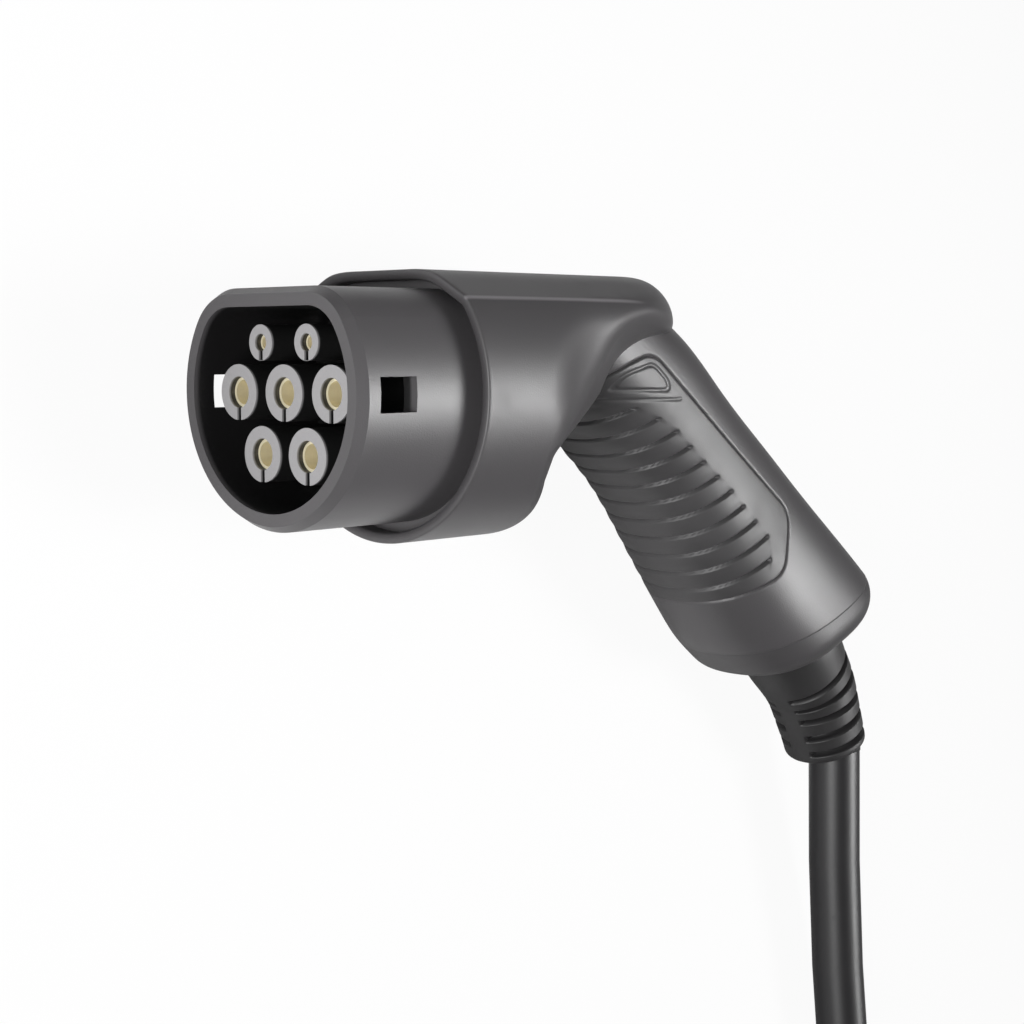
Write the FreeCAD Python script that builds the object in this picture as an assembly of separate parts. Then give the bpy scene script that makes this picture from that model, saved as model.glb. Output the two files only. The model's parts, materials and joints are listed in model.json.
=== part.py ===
import FreeCAD, Part
import os
from math import asin, atan2, cos, degrees, hypot, pi, radians, sin, sqrt, tan

# A seven-pin vehicle charging connector with its cable, lying on its side.
# It is modelled held level: the mating face is at x = 0 and faces -X, +Z is the
# keyed flat on top, and the handle slopes down and back. Sizes are in mm.
# The last step lays it on its side, where it comes to rest, and adds the cable.

V = FreeCAD.Vector

# Contacts: seven places on the mating face, seen from the front.
contact_pitch = 17.0
lower_row_drop = 14.7
lower_row_half = 8.3
pilot_row_rise = 11.9
pilot_row_half = 8.4
power_pin_radius = 3.0
pilot_pin_radius = 1.5

# Front shell, a D-shaped tube that enters the inlet.
shell_radius = 32.8
shell_flat = 24.8
shell_corner = 15.5
shell_wall = 4.5
shell_bevel = 1.5
shell_bevel_length = 2.6
shell_rear = 44.0
lock_front = 6.0
lock_length = 11.2
lock_height = 8.2

# Posts of the contact carrier.
post_recess = 4.9
power_post_radius = 6.75
pilot_post_radius = 4.3
power_hole_radius = 3.8
pilot_hole_radius = 2.1
post_notch_width = 1.5
post_notch_depth = 3.2
carrier_floor = 38.0
contact_tip = 6.6
contact_fit = 0.1
power_bore_end = 36.0
pilot_bore_end = 30.0
collar_thickness = 3.0
collar_step = 1.1
barrel_length = 16.0
power_barrel_radius = 3.6
pilot_barrel_radius = 1.9
crimp_depth = 11.0
power_core_radius = 2.2
pilot_core_radius = 1.1
core_fit = 0.1
retainer_thickness = 3.0

# Housing head: a D-shaped barrel with a collar round the shell.
head_radius = 38.0
head_flat = 30.0
head_corner = 16.0
collar_front = 35.3
collar_wall = 2.4
collar_depth = 5.0
head_wall = 2.7
piece_gap = 0.2
shoulder_width = 4.6
shoulder_thickness = 3.0
gasket_thickness = 1.0
head_rear = 139.5
rear_round = 19.0

# Shoulder wedge that closes the head round the handle.
wedge_angle = 32.0
wedge_slope = 54.0
wedge_x = 68.6
wedge_nose = 20.0
roof_x = 110.0
roof_z = 12.2
roof_rise = 0.14
roof_lean = 0.91
plan_x = 86.0
plan_length = 51.0
plan_half_width = 33.0
shoulder_round = 5.0
heel_angle = 50.0
heel_top = (150.0, 17.0)
heel_notch = (91.5, -15.0)
heel_round_at = (75.0, -25.0)
heel_round = 13.6

# Handle: sections set along a sloping line.
grip_root_x = 128.0
grip_root_z = -4.0
grip_slope = 42.6
grip_squareness = 2.4
grip_wall = 2.8
neck_front = 21.5
root_along = -32.0
root_back = 14.0
root_half_width = 21.5
neck_back = 21.8
neck_half_width = 22.0
roof_half_width = 22.0
waist_along = 18.0
waist_front = 20.8
waist_back = 22.6
waist_half_width = 22.3
palm_along = 45.0
palm_front = 24.8
palm_back = 24.4
palm_half_width = 23.2
swell_along = 72.0
swell_front = 28.8
swell_back = 26.2
swell_half_width = 24.8
heel_front_along = 86.0
heel_back_along = 110.0
heel_front = 29.2
heel_back = 28.6
heel_half_width = 26.4
end_front_along = 98.5
end_back_along = 127.5
end_front = 28.0
end_back = 29.2
end_half_width = 26.4
end_round = 10.0
parting_lead = 13.0
cap_floor = 3.5
cap_spigot = 7.0
cap_spigot_wall = 1.8

# Grip pad moulded into the handle, and its ribs.
pad_thickness = 1.9
pad_groove = 1.0
pad_groove_depth = 0.9
pad_apex_along = -18.5
pad_apex_depth = 0.8
pad_heel_along = 50.0
pad_heel_depth = 7.0
pad_end_along = 66.5
rib_first = -10.0
rib_pitch = 7.0
rib_count = 10
rib_groove = 0.9
rib_groove_depth = 1.1
rib_tilt = 17.0
rib_reach = -6.0

# Cable, strain relief and clamp.
cable_radius = 8.3
cable_exit_x = 233.0
cable_side = -1.8
cable_exit_z = -121.0
cable_bend = 50.0
jacket_length = 102.0
relief_top_radius = 16.4
relief_offset = 4.5
relief_lap = 0.3
relief_shape = [
    (12.4, 25.4, 37.0, 16.2),
    (6.1, 16.7, 30.0, 15.4),
    (3.0, 8.3, 14.0, 13.9),
    (1.7, 2.0, 3.0, 12.2),
    (1.7, 0.0, 0.0, 11.0),
]
relief_flange = 2.5
relief_flange_step = 3.0
relief_slot = 2.2
relief_slot_pitch = 5.6
relief_slot_first = 3.4
relief_slot_count = 5
relief_core = 1.2
relief_spine = 5.0
clamp_width = 12.0
clamp_gap = 1.0
clamp_bar = 5.0
clamp_inset = 5.0
clamp_half_length = 18.3
clamp_screw_side = 14.0
clamp_screw_grip = 9.0
core_bend_x = 62.0
core_bend = 30.0
core_neck_along = -12.0
core_spread = 1.3
core_straight = 9.0

# Screws and small parts.
carrier_screw_y = 20.0
carrier_screw_z = 13.5
screw_radius = 1.5
screw_head_radius = 3.0
screw_head_height = 2.2
screw_length = 20.0
screw_fit = 0.05
boss_radius = 3.8
resistor_radius = 1.2
resistor_length = 6.5
lead_radius = 0.4
seal_radius = 0.9

# Free cable, coil and far end, on the surface that it all lies on.
coil_mean_radius = 93.5
coil_turns_across = 4
coil_layers = 2
coil_stub = 64.0
floor_run = 121.0
tie_width = 16.0
tie_wall = 1.2
end_stub = 80.0
gland_radius = 14.0
gland_body_length = 26.0
gland_nut_length = 20.0
gland_thread_radius = 12.4
gland_thread_length = 14.0
locknut_radius = 17.0
locknut_thickness = 5.0
core_tail = 34.0
ferrule_length = 9.0

far = 90.0
slope = radians(grip_slope)
along_axis = V(cos(slope), 0, -sin(slope))
depth_axis = V(sin(slope), 0, cos(slope))
side_axis = V(0, 1, 0)
grip_root = V(grip_root_x, 0, grip_root_z)

power_places = {
    "n": (contact_pitch, 0.0),
    "pe": (0.0, 0.0),
    "l1": (-contact_pitch, 0.0),
    "l3": (lower_row_half, -lower_row_drop),
    "l2": (-lower_row_half, -lower_row_drop),
}
pilot_places = {
    "cp": (pilot_row_half, pilot_row_rise),
    "pp": (-pilot_row_half, pilot_row_rise),
}


def on_grip(along, depth, side=0.0):
    """A point by its way along the handle, its height towards the back, and its side."""
    return grip_root + along_axis * along + depth_axis * depth + side_axis * side


def cylinder(radius, start, end):
    """A rod between two points."""
    way = end - start
    return Part.makeCylinder(radius, way.Length, start, way)


def rod_x(radius, x0, x1, y=0.0, z=0.0):
    """A rod along X."""
    return Part.makeCylinder(radius, x1 - x0, V(x0, y, z), V(1, 0, 0))


def box(x0, x1, y0, y1, z0, z1):
    """A box between six planes."""
    return Part.makeBox(x1 - x0, y1 - y0, z1 - z0, V(x0, y0, z0))


def prism(wire, way):
    """A closed outline carried along a vector."""
    return Part.Face(wire).extrude(way)


def d_wire(radius, flat, corner, x):
    """The D outline: a circle with a flat on top, joined by tangent corners."""
    half = sqrt((radius - corner) ** 2 - (flat - corner) ** 2)
    rise = flat - corner
    reach = radius / (radius - corner)
    turn = (atan2(rise, half) + pi / 2) / 2
    knee = V(x, half * reach, rise * reach)
    middle = V(x, half + corner * cos(turn), rise + corner * sin(turn))

    def mirrored(point):
        return V(point.x, -point.y, point.z)

    left, right = V(x, -half, flat), V(x, half, flat)
    edges = [
        Part.LineSegment(left, right),
        Part.Arc(right, middle, knee),
        Part.Arc(knee, V(x, 0, -radius), mirrored(knee)),
        Part.Arc(mirrored(knee), mirrored(middle), left),
    ]
    return Part.Wire([edge.toShape() for edge in edges])


def d_prism(size, inset, x0, x1):
    """A bar of D section, drawn in from its outline by the inset."""
    radius, flat, corner = [value - inset for value in size]
    return prism(d_wire(radius, flat, corner, x0), V(x1 - x0, 0, 0))


shell_size = (shell_radius, shell_flat, shell_corner)
head_size = (head_radius, head_flat, head_corner)
groove_floor = collar_front + collar_depth
shoulder_front = shell_rear + gasket_thickness
post_places = dict(power_places, **pilot_places)


def is_power(name):
    """True for the five large contacts."""
    return name in power_places


def front_shell():
    """The D tube with its bevelled rim, seating flange and two lock windows."""
    face = d_wire(*[value - shell_bevel for value in shell_size], 0)
    rim = d_wire(*shell_size, shell_bevel_length)
    bevel = Part.makeLoft([face, rim], True, True)
    tube = d_prism(shell_size, 0, shell_bevel_length, shell_rear)
    flange = d_prism(head_size, collar_wall + piece_gap, groove_floor, shell_rear)
    body = bevel.fuse([tube, flange])
    body = body.cut(d_prism(shell_size, shell_wall, -1, shell_rear + 1))
    window = box(lock_front, lock_front + lock_length, -2 * shell_radius,
                 2 * shell_radius, -lock_height / 2, lock_height / 2)
    return body.cut(window).removeSplitter()


def post(name):
    """One insulating post with its hole."""
    y, z = post_places[name]
    radius = power_post_radius if is_power(name) else pilot_post_radius
    return rod_x(radius, post_recess, carrier_floor + 1, y, z)


def hole_radius(name):
    """The hole in a post, which the contact stands in."""
    return power_hole_radius if is_power(name) else pilot_hole_radius


def contact_collar_radius(name):
    """The collar that holds a contact in the carrier."""
    return hole_radius(name) + collar_step


def screw_places():
    """Where the four carrier screws stand."""
    sides = (-1, 1)
    return [(a * carrier_screw_y, b * carrier_screw_z) for a in sides for b in sides]


def contact_carrier():
    """The insulator: a D-shaped floor with seven posts, each with a hole and a notch."""
    inset = shell_wall + piece_gap / 2
    body = d_prism(shell_size, inset, carrier_floor, shell_rear)
    body = body.fuse([post(name) for name in post_places])
    tools = []
    for name, (y, z) in post_places.items():
        hole = hole_radius(name)
        seat = shell_rear - collar_thickness
        tools.append(rod_x(hole, 0, shell_rear + 1, y, z))
        tools.append(rod_x(contact_collar_radius(name) + contact_fit, seat, shell_rear + 1, y, z))
        tools.append(box(0, post_recess + post_notch_depth, y - post_notch_width / 2,
                         y + post_notch_width / 2, z - 2 * hole, z))
    for y, z in screw_places():
        tools.append(rod_x(screw_radius + screw_fit, carrier_floor - 1, shell_rear + 1, y, z))
    groove = d_prism(shell_size, shell_wall - 1, seal_front(), seal_front() + 2 * seal_radius)
    groove = groove.cut(d_prism(shell_size, seal_inset(), 0, shell_rear))
    return body.cut(tools).cut(groove).removeSplitter()


def seal_front():
    """Where the seal round the carrier starts."""
    return carrier_floor + (shell_rear - carrier_floor) / 2 - seal_radius


def seal_inset():
    """How far the bottom of the carrier's seal groove lies in from the shell's outside."""
    return shell_wall + 2 * seal_radius


def carrier_seal():
    """The square-section ring between carrier and shell."""
    front, back = seal_front(), seal_front() + 2 * seal_radius
    ring = d_prism(shell_size, shell_wall, front, back)
    return ring.cut(d_prism(shell_size, seal_inset(), 0, shell_rear))


def shell_gasket():
    """The flat ring between the shell's flange and the housing's shoulder."""
    ring = d_prism(head_size, collar_wall + piece_gap, shell_rear, shoulder_front)
    return ring.cut(d_prism(head_size, collar_wall + shoulder_width, 0, head_rear))


def contact(name):
    """A socket contact: bored tube, collar and crimp barrel, turned in one piece."""
    y, z = post_places[name]
    power = is_power(name)
    tube = hole_radius(name) - contact_fit
    bore = power_pin_radius if power else pilot_pin_radius
    bore_end = power_bore_end if power else pilot_bore_end
    barrel = power_barrel_radius if power else pilot_barrel_radius
    core = (power_core_radius if power else pilot_core_radius) + core_fit
    barrel_end = shell_rear + barrel_length
    body = rod_x(tube, contact_tip, shell_rear, y, z)
    body = body.fuse([
        rod_x(contact_collar_radius(name), shell_rear - collar_thickness, shell_rear, y, z),
        rod_x(barrel, shell_rear - 1, barrel_end, y, z),
    ])
    body = body.cut([
        rod_x(bore, 0, bore_end, y, z),
        rod_x(core, barrel_end - crimp_depth, barrel_end + 1, y, z),
    ])
    return body.removeSplitter()


def retainer():
    """The plate that keeps the contacts' collars in the carrier."""
    edge = collar_wall + shoulder_width + piece_gap
    plate = d_prism(head_size, edge, shell_rear, shell_rear + retainer_thickness)
    tools = []
    for name, (y, z) in post_places.items():
        barrel = power_barrel_radius if is_power(name) else pilot_barrel_radius
        tools.append(rod_x(barrel + contact_fit, 0, head_rear, y, z))
    for y, z in screw_places():
        tools.append(rod_x(screw_radius + screw_fit, 0, head_rear, y, z))
    return plate.cut(tools)


def carrier_screw(y, z):
    """A pan-head screw through carrier and retainer into its boss."""
    head = rod_x(screw_head_radius, carrier_floor - screw_head_height, carrier_floor, y, z)
    shank = rod_x(screw_radius, carrier_floor - 1, carrier_floor + screw_length, y, z)
    slot = box(0, carrier_floor - screw_head_height / 2, y - screw_head_radius,
               y + screw_head_radius, z - screw_radius / 3, z + screw_radius / 3)
    return head.fuse(shank).cut(slot)


def wedge(inset):
    """A sloping prism whose plan is a rounded wedge. It closes the head round the handle."""
    lean = radians(wedge_angle)
    reach = 2 * head_radius
    apex = wedge_x + head_radius / tan(lean) - inset / sin(lean)
    start = apex - reach / tan(lean)
    nose = wedge_nose - min(inset, wedge_nose / 2)
    touch_x = apex - nose / tan(lean) * cos(lean)
    touch_y = nose / tan(lean) * sin(lean)
    tip = apex - nose * (1 / sin(lean) - 1)
    rise = V(cos(radians(wedge_slope)), 0, sin(radians(wedge_slope)))
    foot = rise * (-3 * head_radius)
    front = -2 * head_radius

    def place(x, y):
        return foot + V(x, y, 0)

    edges = [
        Part.LineSegment(place(front, -reach), place(start, -reach)),
        Part.LineSegment(place(start, -reach), place(touch_x, -touch_y)),
        Part.Arc(place(touch_x, -touch_y), place(tip, 0), place(touch_x, touch_y)),
        Part.LineSegment(place(touch_x, touch_y), place(start, reach)),
        Part.LineSegment(place(start, reach), place(front, reach)),
        Part.LineSegment(place(front, reach), place(front, -reach)),
    ]
    outline = Part.Wire([edge.toShape() for edge in edges])
    return prism(outline, rise * (6 * head_radius))


def rear_corner(inset):
    """What the rounded upper rear corner of the head takes off its square one."""
    radius = rear_round - inset
    x, z = head_rear - rear_round, head_flat - rear_round
    block = box(x, head_rear + head_radius, -head_radius, head_radius, z, 2 * head_flat)
    rod = Part.makeCylinder(radius, 4 * head_radius, V(x, -2 * head_radius, z), V(0, 1, 0))
    return block.cut(rod)


def roof(inset):
    """The part of the head that runs on above the handle. Its sides lean in underneath."""
    reach = 2 * head_radius
    corner = roof_half_width
    low = roof_z - roof_rise * roof_x + inset * hypot(1, roof_lean)
    high = low + roof_lean * (reach - corner)
    outline = Part.makePolygon([V(0, -reach, high), V(0, -corner, low), V(0, corner, low),
                                V(0, reach, high), V(0, -reach, high)])
    length = 2 * head_rear
    return prism(outline, V(length, 0, length * roof_rise))


def rear_plan(inset):
    """What the half-oval end of the head, seen from above, takes off its square one."""
    length, width = plan_length - inset, plan_half_width - inset
    wall = 4 * head_radius
    block = box(plan_x, plan_x + wall, -wall, wall, -wall, wall)
    oval = Part.Ellipse(V(plan_x, 0, -wall), length, width).toShape()
    return block.cut(prism(Part.Wire(oval), V(0, 0, 2 * wall)))


def middle_of(edge):
    """The point halfway along an edge."""
    return edge.valueAt((edge.FirstParameter + edge.LastParameter) / 2)


def is_rim(edge):
    """True for an edge where the head's round side ends in its shoulder."""
    point = middle_of(edge)
    start, end = edge.valueAt(edge.FirstParameter), edge.valueAt(edge.LastParameter)
    on_side = abs(hypot(point.y, point.z) - head_radius) < 0.06 and point.z < head_flat
    across = abs((end - start).normalize().x) < 0.999
    return on_side and across and point.x > collar_front + 1


def heel(inset):
    """A blunter wedge that ends the head below the handle, with a round lower corner."""
    lean = radians(heel_angle)
    back = inset / sin(lean)
    x, z = heel_round_at
    radius = heel_round - inset
    reach = 2 * head_radius
    turn = V(x + radius * cos(radians(45)), 0, z - radius * sin(radians(45)))
    edges = [
        Part.LineSegment(V(-reach, 0, reach), V(heel_top[0], 0, reach)),
        Part.LineSegment(V(heel_top[0], 0, reach), V(heel_top[0], 0, heel_top[1] + back)),
        Part.LineSegment(V(heel_top[0], 0, heel_top[1] + back),
                         V(heel_notch[0] - back, 0, heel_notch[1])),
        Part.LineSegment(V(heel_notch[0] - back, 0, heel_notch[1]), V(x + radius, 0, z)),
        Part.Arc(V(x + radius, 0, z), turn, V(x, 0, z - radius)),
        Part.LineSegment(V(x, 0, z - radius), V(x, 0, -reach)),
        Part.LineSegment(V(x, 0, -reach), V(-reach, 0, -reach)),
        Part.LineSegment(V(-reach, 0, -reach), V(-reach, 0, reach)),
    ]
    outline = Part.Wire([edge.toShape() for edge in edges])
    halves = []
    for side in (-1, 1):
        way = V(cos(lean), side * sin(lean), 0)
        halves.append(prism(outline.translated(way * -reach), way * (2 * reach)))
    return halves[0].common(halves[1])


def barrel_form(inset, front):
    """The head: a D bar cut by the shoulder, open above the handle and round at the back."""
    bar = d_prism(head_size, inset, front, head_rear + head_radius)
    lower = bar.common(wedge(inset)).Solids[0]
    if inset == 0:
        lower = lower.makeFillet(shoulder_round, [edge for edge in lower.Edges if is_rim(edge)])
    whole = lower.common(heel(inset)).fuse(bar.common(roof(inset)))
    return whole.cut([rear_plan(inset), rear_corner(inset)]).Solids[0]


def station_points(front, back, half_width, inset):
    """Points round one section of the handle, a squared ellipse between two points."""
    centre = (front + back) * 0.5
    depth = (back - front).Length / 2 - inset
    way = (back - front).normalize()
    width = half_width - inset
    power = 2 / grip_squareness
    points = []
    count = 24
    for step in range(count):
        turn = 2 * pi * step / count
        u, v = cos(turn), sin(turn)
        u = (1 if u >= 0 else -1) * abs(u) ** power
        v = (1 if v >= 0 else -1) * abs(v) ** power
        points.append(centre + way * (depth * u) + side_axis * (width * v))
    return points


def grip_form(inset):
    """The handle's form as a loft through its sections."""
    stations = [
        (root_along, neck_front, root_along, root_back, root_half_width),
        (-5.0, neck_front, -5.0, neck_back, neck_half_width),
        (waist_along, waist_front, waist_along, waist_back, waist_half_width),
        (palm_along, palm_front, palm_along, palm_back, palm_half_width),
        (swell_along, swell_front, swell_along + 2, swell_back, swell_half_width),
        (heel_front_along, heel_front, heel_back_along, heel_back, heel_half_width),
        (end_front_along, end_front, end_back_along, end_back, end_half_width),
    ]
    wires = []
    for front_along, front_depth, back_along, back_depth, half_width in stations:
        front = on_grip(front_along, -front_depth)
        back = on_grip(back_along, back_depth)
        curve = Part.BSplineCurve()
        curve.interpolate(station_points(front, back, half_width, inset), PeriodicFlag=True)
        wires.append(Part.Wire(curve.toShape()))
    return Part.makeLoft(wires, True, False)


end_front_point = on_grip(end_front_along, -end_front)
end_back_point = on_grip(end_back_along, end_back)
end_across = (end_back_point - end_front_point).normalize()
end_out = V(-end_across.z, 0, end_across.x) * -1
end_centre = (end_front_point + end_back_point) * 0.5


def end_slab(inner, outer):
    """A broad slab square to the handle's end, between two distances inside it."""
    half = 3 * end_half_width
    corner = end_centre - end_across * half - side_axis * half - end_out * inner
    edges = [corner, corner + end_across * (2 * half),
             corner + end_across * (2 * half) + side_axis * (2 * half),
             corner + side_axis * (2 * half), corner]
    return prism(Part.makePolygon(edges), end_out * (inner - outer))


def rounded_grip():
    """The handle's outer form with its end edge rounded."""
    form = grip_form(0)
    ends = [edge for edge in form.Edges
            if abs((edge.CenterOfMass - end_centre).dot(end_out)) < 0.5]
    return form.makeFillet(end_round, ends)


def cable_line():
    """The cable's middle line inside the handle: a straight run and an arc, from inside out."""
    turn = pi / 2 - slope
    exit_point = V(cable_exit_x, cable_side, cable_exit_z)
    centre = exit_point - V(cable_bend, 0, 0)
    middle = centre + V(cos(turn / 2), 0, sin(turn / 2)) * cable_bend
    start = centre + V(cos(turn), 0, sin(turn)) * cable_bend
    inner = start - along_axis * (jacket_length - cable_bend * turn)
    return inner, start, middle, exit_point


def cable_sweep(radius):
    """A round bar along the cable's line inside the handle."""
    inner, start, middle, exit_point = cable_line()
    path = Part.Wire([Part.LineSegment(inner, start).toShape(),
                      Part.Arc(start, middle, exit_point).toShape()])
    ring = Part.Wire(Part.Circle(inner, along_axis, radius).toShape())
    return path.makePipeShell([ring], True, False)


def relief_sections():
    """Centre, direction and radius of each section of the strain relief, from the flange out."""
    foot = end_centre - end_across * relief_offset - end_out * (cap_floor + relief_lap)
    sections = [(foot, end_out, relief_top_radius)]
    for back, rise, lean, radius in relief_shape:
        centre = V(cable_exit_x - back, 0, cable_exit_z + rise)
        lean = radians(lean)
        sections.append((centre, V(sin(lean), 0, -cos(lean)), radius))
    return sections


def relief_form(gap):
    """The strain relief's outside as a loft through circles, grown by the gap."""
    wires = [Part.Wire(Part.Circle(centre, way, radius + gap).toShape())
             for centre, way, radius in relief_sections()]
    return Part.makeLoft(wires, True, False)


def relief_slots():
    """Arc slots cut in both sides in turn, leaving a spine in front and behind."""
    tools = []
    exit_point = cable_line()[3]
    centre = exit_point - V(cable_bend, 0, 0)
    core = cable_sweep(cable_radius + relief_core)
    for step in range(2 * relief_slot_count):
        rise = relief_slot_first + relief_slot_pitch * step / 2
        turn = rise / cable_bend
        out = V(cos(turn), 0, sin(turn))
        way = V(-sin(turn), 0, cos(turn))
        half = 2 * relief_top_radius
        side = -1 if step % 2 == 0 else 1
        near = relief_spine + max(0.0, side * -cable_side)
        corner = centre + out * (cable_bend - half) + side_axis * (side * near)
        slab = Part.makePolygon([corner, corner + out * (2 * half),
                                 corner + out * (2 * half) + side_axis * (side * half),
                                 corner + side_axis * (side * half), corner])
        tools.append(prism(slab, way * relief_slot).cut(core))
    return tools


def strain_relief():
    """The flexible relief: flange, slotted taper and the cable's bore."""
    foot, way, radius = relief_sections()[0]
    flange = cylinder(radius + relief_flange_step, foot - way * relief_flange,
                      foot + way * relief_lap)
    body = relief_form(0).fuse(flange)
    body = body.cut(cable_sweep(cable_radius))
    return body.cut(relief_slots()).removeSplitter()


def handle_layer(grip, barrel, depth):
    """The handle's outer layer down to a depth, where the head does not cover it."""
    return grip.cut([grip_form(depth), barrel])


def inner_form():
    """The hollow inside the housing."""
    front = shoulder_front + shoulder_thickness
    room = grip_form(grip_wall).cut(end_slab(cap_floor, -far))
    return barrel_form(head_wall, front).fuse(room)


def pad_region(grow):
    """The side outline of the grip pad as a prism across the handle."""
    def place(along, depth):
        return on_grip(along, depth, -far)

    apex = place(pad_apex_along, pad_apex_depth + grow)
    heel = place(pad_heel_along, pad_heel_depth + grow)
    turn = place(pad_heel_along + (pad_end_along - pad_heel_along) * 0.7 + grow,
                 pad_heel_depth - 4.5)
    end = place(pad_end_along + grow, -pad_heel_depth)
    low = place(pad_end_along - 6 + grow, -neck_front)
    floor = place(pad_end_along - 10 + grow, -far)
    front = place(2 * pad_apex_along - grow, -far)
    brow = place(pad_apex_along - 7 - grow, -pad_end_along / 6)
    edges = [
        Part.LineSegment(apex, heel),
        Part.Arc(heel, turn, end),
        Part.LineSegment(end, low),
        Part.LineSegment(low, floor),
        Part.LineSegment(floor, front),
        Part.LineSegment(front, brow),
        Part.LineSegment(brow, apex),
    ]
    outline = Part.Wire([edge.toShape() for edge in edges])
    return prism(outline, side_axis * (2 * far))


def rib_tools():
    """Thin slabs across the handle, one for each groove between ribs."""
    tilt = radians(rib_tilt)
    across = along_axis * sin(tilt) + depth_axis * cos(tilt)
    normal = along_axis * cos(tilt) - depth_axis * sin(tilt)
    tools = []
    for step in range(rib_count):
        start = on_grip(rib_first + step * rib_pitch, rib_reach, -far)
        corner = start - across * far
        outline = Part.makePolygon([start, corner, corner + side_axis * (2 * far),
                                    start + side_axis * (2 * far), start])
        tools.append(prism(outline, normal * rib_groove))
    return tools


def grip_pad(grip, barrel):
    """The soft pad moulded into the handle, with its ribs cut by thin grooves."""
    pad = handle_layer(grip, barrel, pad_thickness).common(pad_region(0))
    margin = pad_region(0).cut(pad_region(-pad_groove))
    rim = handle_layer(grip, barrel, pad_groove_depth).common(margin)
    ribs = handle_layer(grip, barrel, rib_groove_depth)
    return pad.cut([rim] + [ribs.common(tool) for tool in rib_tools()])


def bosses():
    """Four columns for the carrier screws, each tied to the wall by a web."""
    start = shell_rear + retainer_thickness
    end = carrier_floor + screw_length + 2
    shapes = []
    for y, z in screw_places():
        shapes.append(rod_x(boss_radius, start, end, y, z))
        web = Part.makeBox(end - start, boss_radius, head_radius, V(start, -boss_radius / 2, 0))
        web = web.rotated(V(0, 0, 0), V(1, 0, 0), degrees(atan2(-y, z)))
        shapes.append(web.cut(rod_x(hypot(y, z), 0, end, 0, 0)))
    body = shapes[0].fuse(shapes[1:])
    return body.common(barrel_form(head_wall / 2, collar_front))


def handle_housing(grip, barrel):
    """The moulded housing: collar, shoulder, hollow head and handle, screw bosses."""
    seat = handle_layer(grip, barrel, pad_thickness).common(pad_region(0))
    handle = grip.cut([seat, end_slab(parting_lead, -far)])
    body = barrel.fuse(handle)
    body = body.cut(d_prism(head_size, collar_wall, 0, shoulder_front))
    opening = d_prism(head_size, collar_wall + shoulder_width, 0,
                      shoulder_front + shoulder_thickness + 1)
    body = body.cut([opening, inner_form()])
    body = body.fuse(bosses())
    holes = [rod_x(screw_radius, 0, carrier_floor + screw_length + 1, y, z)
             for y, z in screw_places()]
    return body.cut(holes)


def end_cap(grip):
    """The cap that closes the handle, with a spigot that enters it."""
    lip = grip_wall + piece_gap
    bore = lip + cap_spigot_wall
    cap = grip.common(end_slab(parting_lead, -far))
    spigot = grip_form(lip).common(end_slab(parting_lead + cap_spigot, parting_lead - 1))
    room = grip_form(bore).cut(end_slab(cap_floor, -far))
    return cap.fuse(spigot).cut(room).cut(relief_form(piece_gap)).removeSplitter()


def clamp_middle():
    """The cable's middle where the clamp holds it."""
    return cable_line()[0] + along_axis * (clamp_inset + clamp_width / 2)


def clamp_slab(low, high):
    """A slab across the handle at the clamp, between two depths."""
    middle = clamp_middle()
    corner = middle - along_axis * (clamp_width / 2) + depth_axis * low
    corner = V(corner.x, -far, corner.z)
    outline = Part.makePolygon([corner, corner + along_axis * clamp_width,
                                corner + along_axis * clamp_width + side_axis * (2 * far),
                                corner + side_axis * (2 * far), corner])
    return prism(outline, depth_axis * (high - low))


def clamp_screw_ends():
    """Where each clamp screw's head sits, and where it ends."""
    top = cable_radius + clamp_bar
    places = []
    for side in (-1, 1):
        seat = clamp_middle() + depth_axis * top
        seat = V(seat.x, side * clamp_screw_side, seat.z)
        places.append((seat, seat - depth_axis * (top + clamp_screw_grip)))
    return places


def clamp_holes(gap):
    """The two screw holes through the clamp."""
    return [cylinder(screw_radius + gap, seat + depth_axis, end - depth_axis)
            for seat, end in clamp_screw_ends()]


def clamp_saddle():
    """The lower half of the cable clamp, seated across the inside of the handle."""
    slab = clamp_slab(-far, -clamp_gap / 2)
    body = grip_form(grip_wall).common(slab).cut(cable_sweep(cable_radius))
    return body.cut(clamp_holes(0))


def clamp_top():
    """The bar that presses the cable into the saddle."""
    slab = clamp_slab(clamp_gap / 2, cable_radius + clamp_bar)
    strip = box(0, 3 * far, -clamp_half_length, clamp_half_length, -2 * far, far)
    return slab.common(strip).cut(cable_sweep(cable_radius)).cut(clamp_holes(screw_fit))


def clamp_screws():
    """Two pan-head screws."""
    screws = []
    for seat, end in clamp_screw_ends():
        head = cylinder(screw_head_radius, seat, seat + depth_axis * screw_head_height)
        screws.append(head.fuse(cylinder(screw_radius, seat, end)))
    return Part.makeCompound(screws)


def rounded_path(points, radii):
    """Straight runs between points, joined by tangent arcs of the given radii."""
    edges = []
    last = points[0]
    for before, corner, after, radius in zip(points, points[1:], points[2:], radii):
        back = (before - corner).normalize()
        ahead = (after - corner).normalize()
        half_turn = (pi - back.getAngle(ahead)) / 2
        length = radius * tan(half_turn)
        start, end = corner + back * length, corner + ahead * length
        inward = (back + ahead).normalize()
        middle = corner + inward * (radius / cos(half_turn) - radius)
        edges.append(Part.LineSegment(last, start).toShape())
        edges.append(Part.Arc(start, middle, end).toShape())
        last = end
    edges.append(Part.LineSegment(last, points[-1]).toShape())
    return Part.Wire(edges)


def tube(points, radii, radius):
    """A round bar along a rounded path."""
    ring = Part.Wire(Part.Circle(points[0], points[1] - points[0], radius).toShape())
    return rounded_path(points, radii).makePipeShell([ring], True, False)


core_places = {
    "pe": (0.0, 0.0),
    "n": (4.45, 1.6),
    "l1": (-4.45, 1.6),
    "l3": (2.75, -3.95),
    "l2": (-2.75, -3.95),
    "cp": (1.65, 4.55),
    "pp": (-1.65, 4.55),
}


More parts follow.
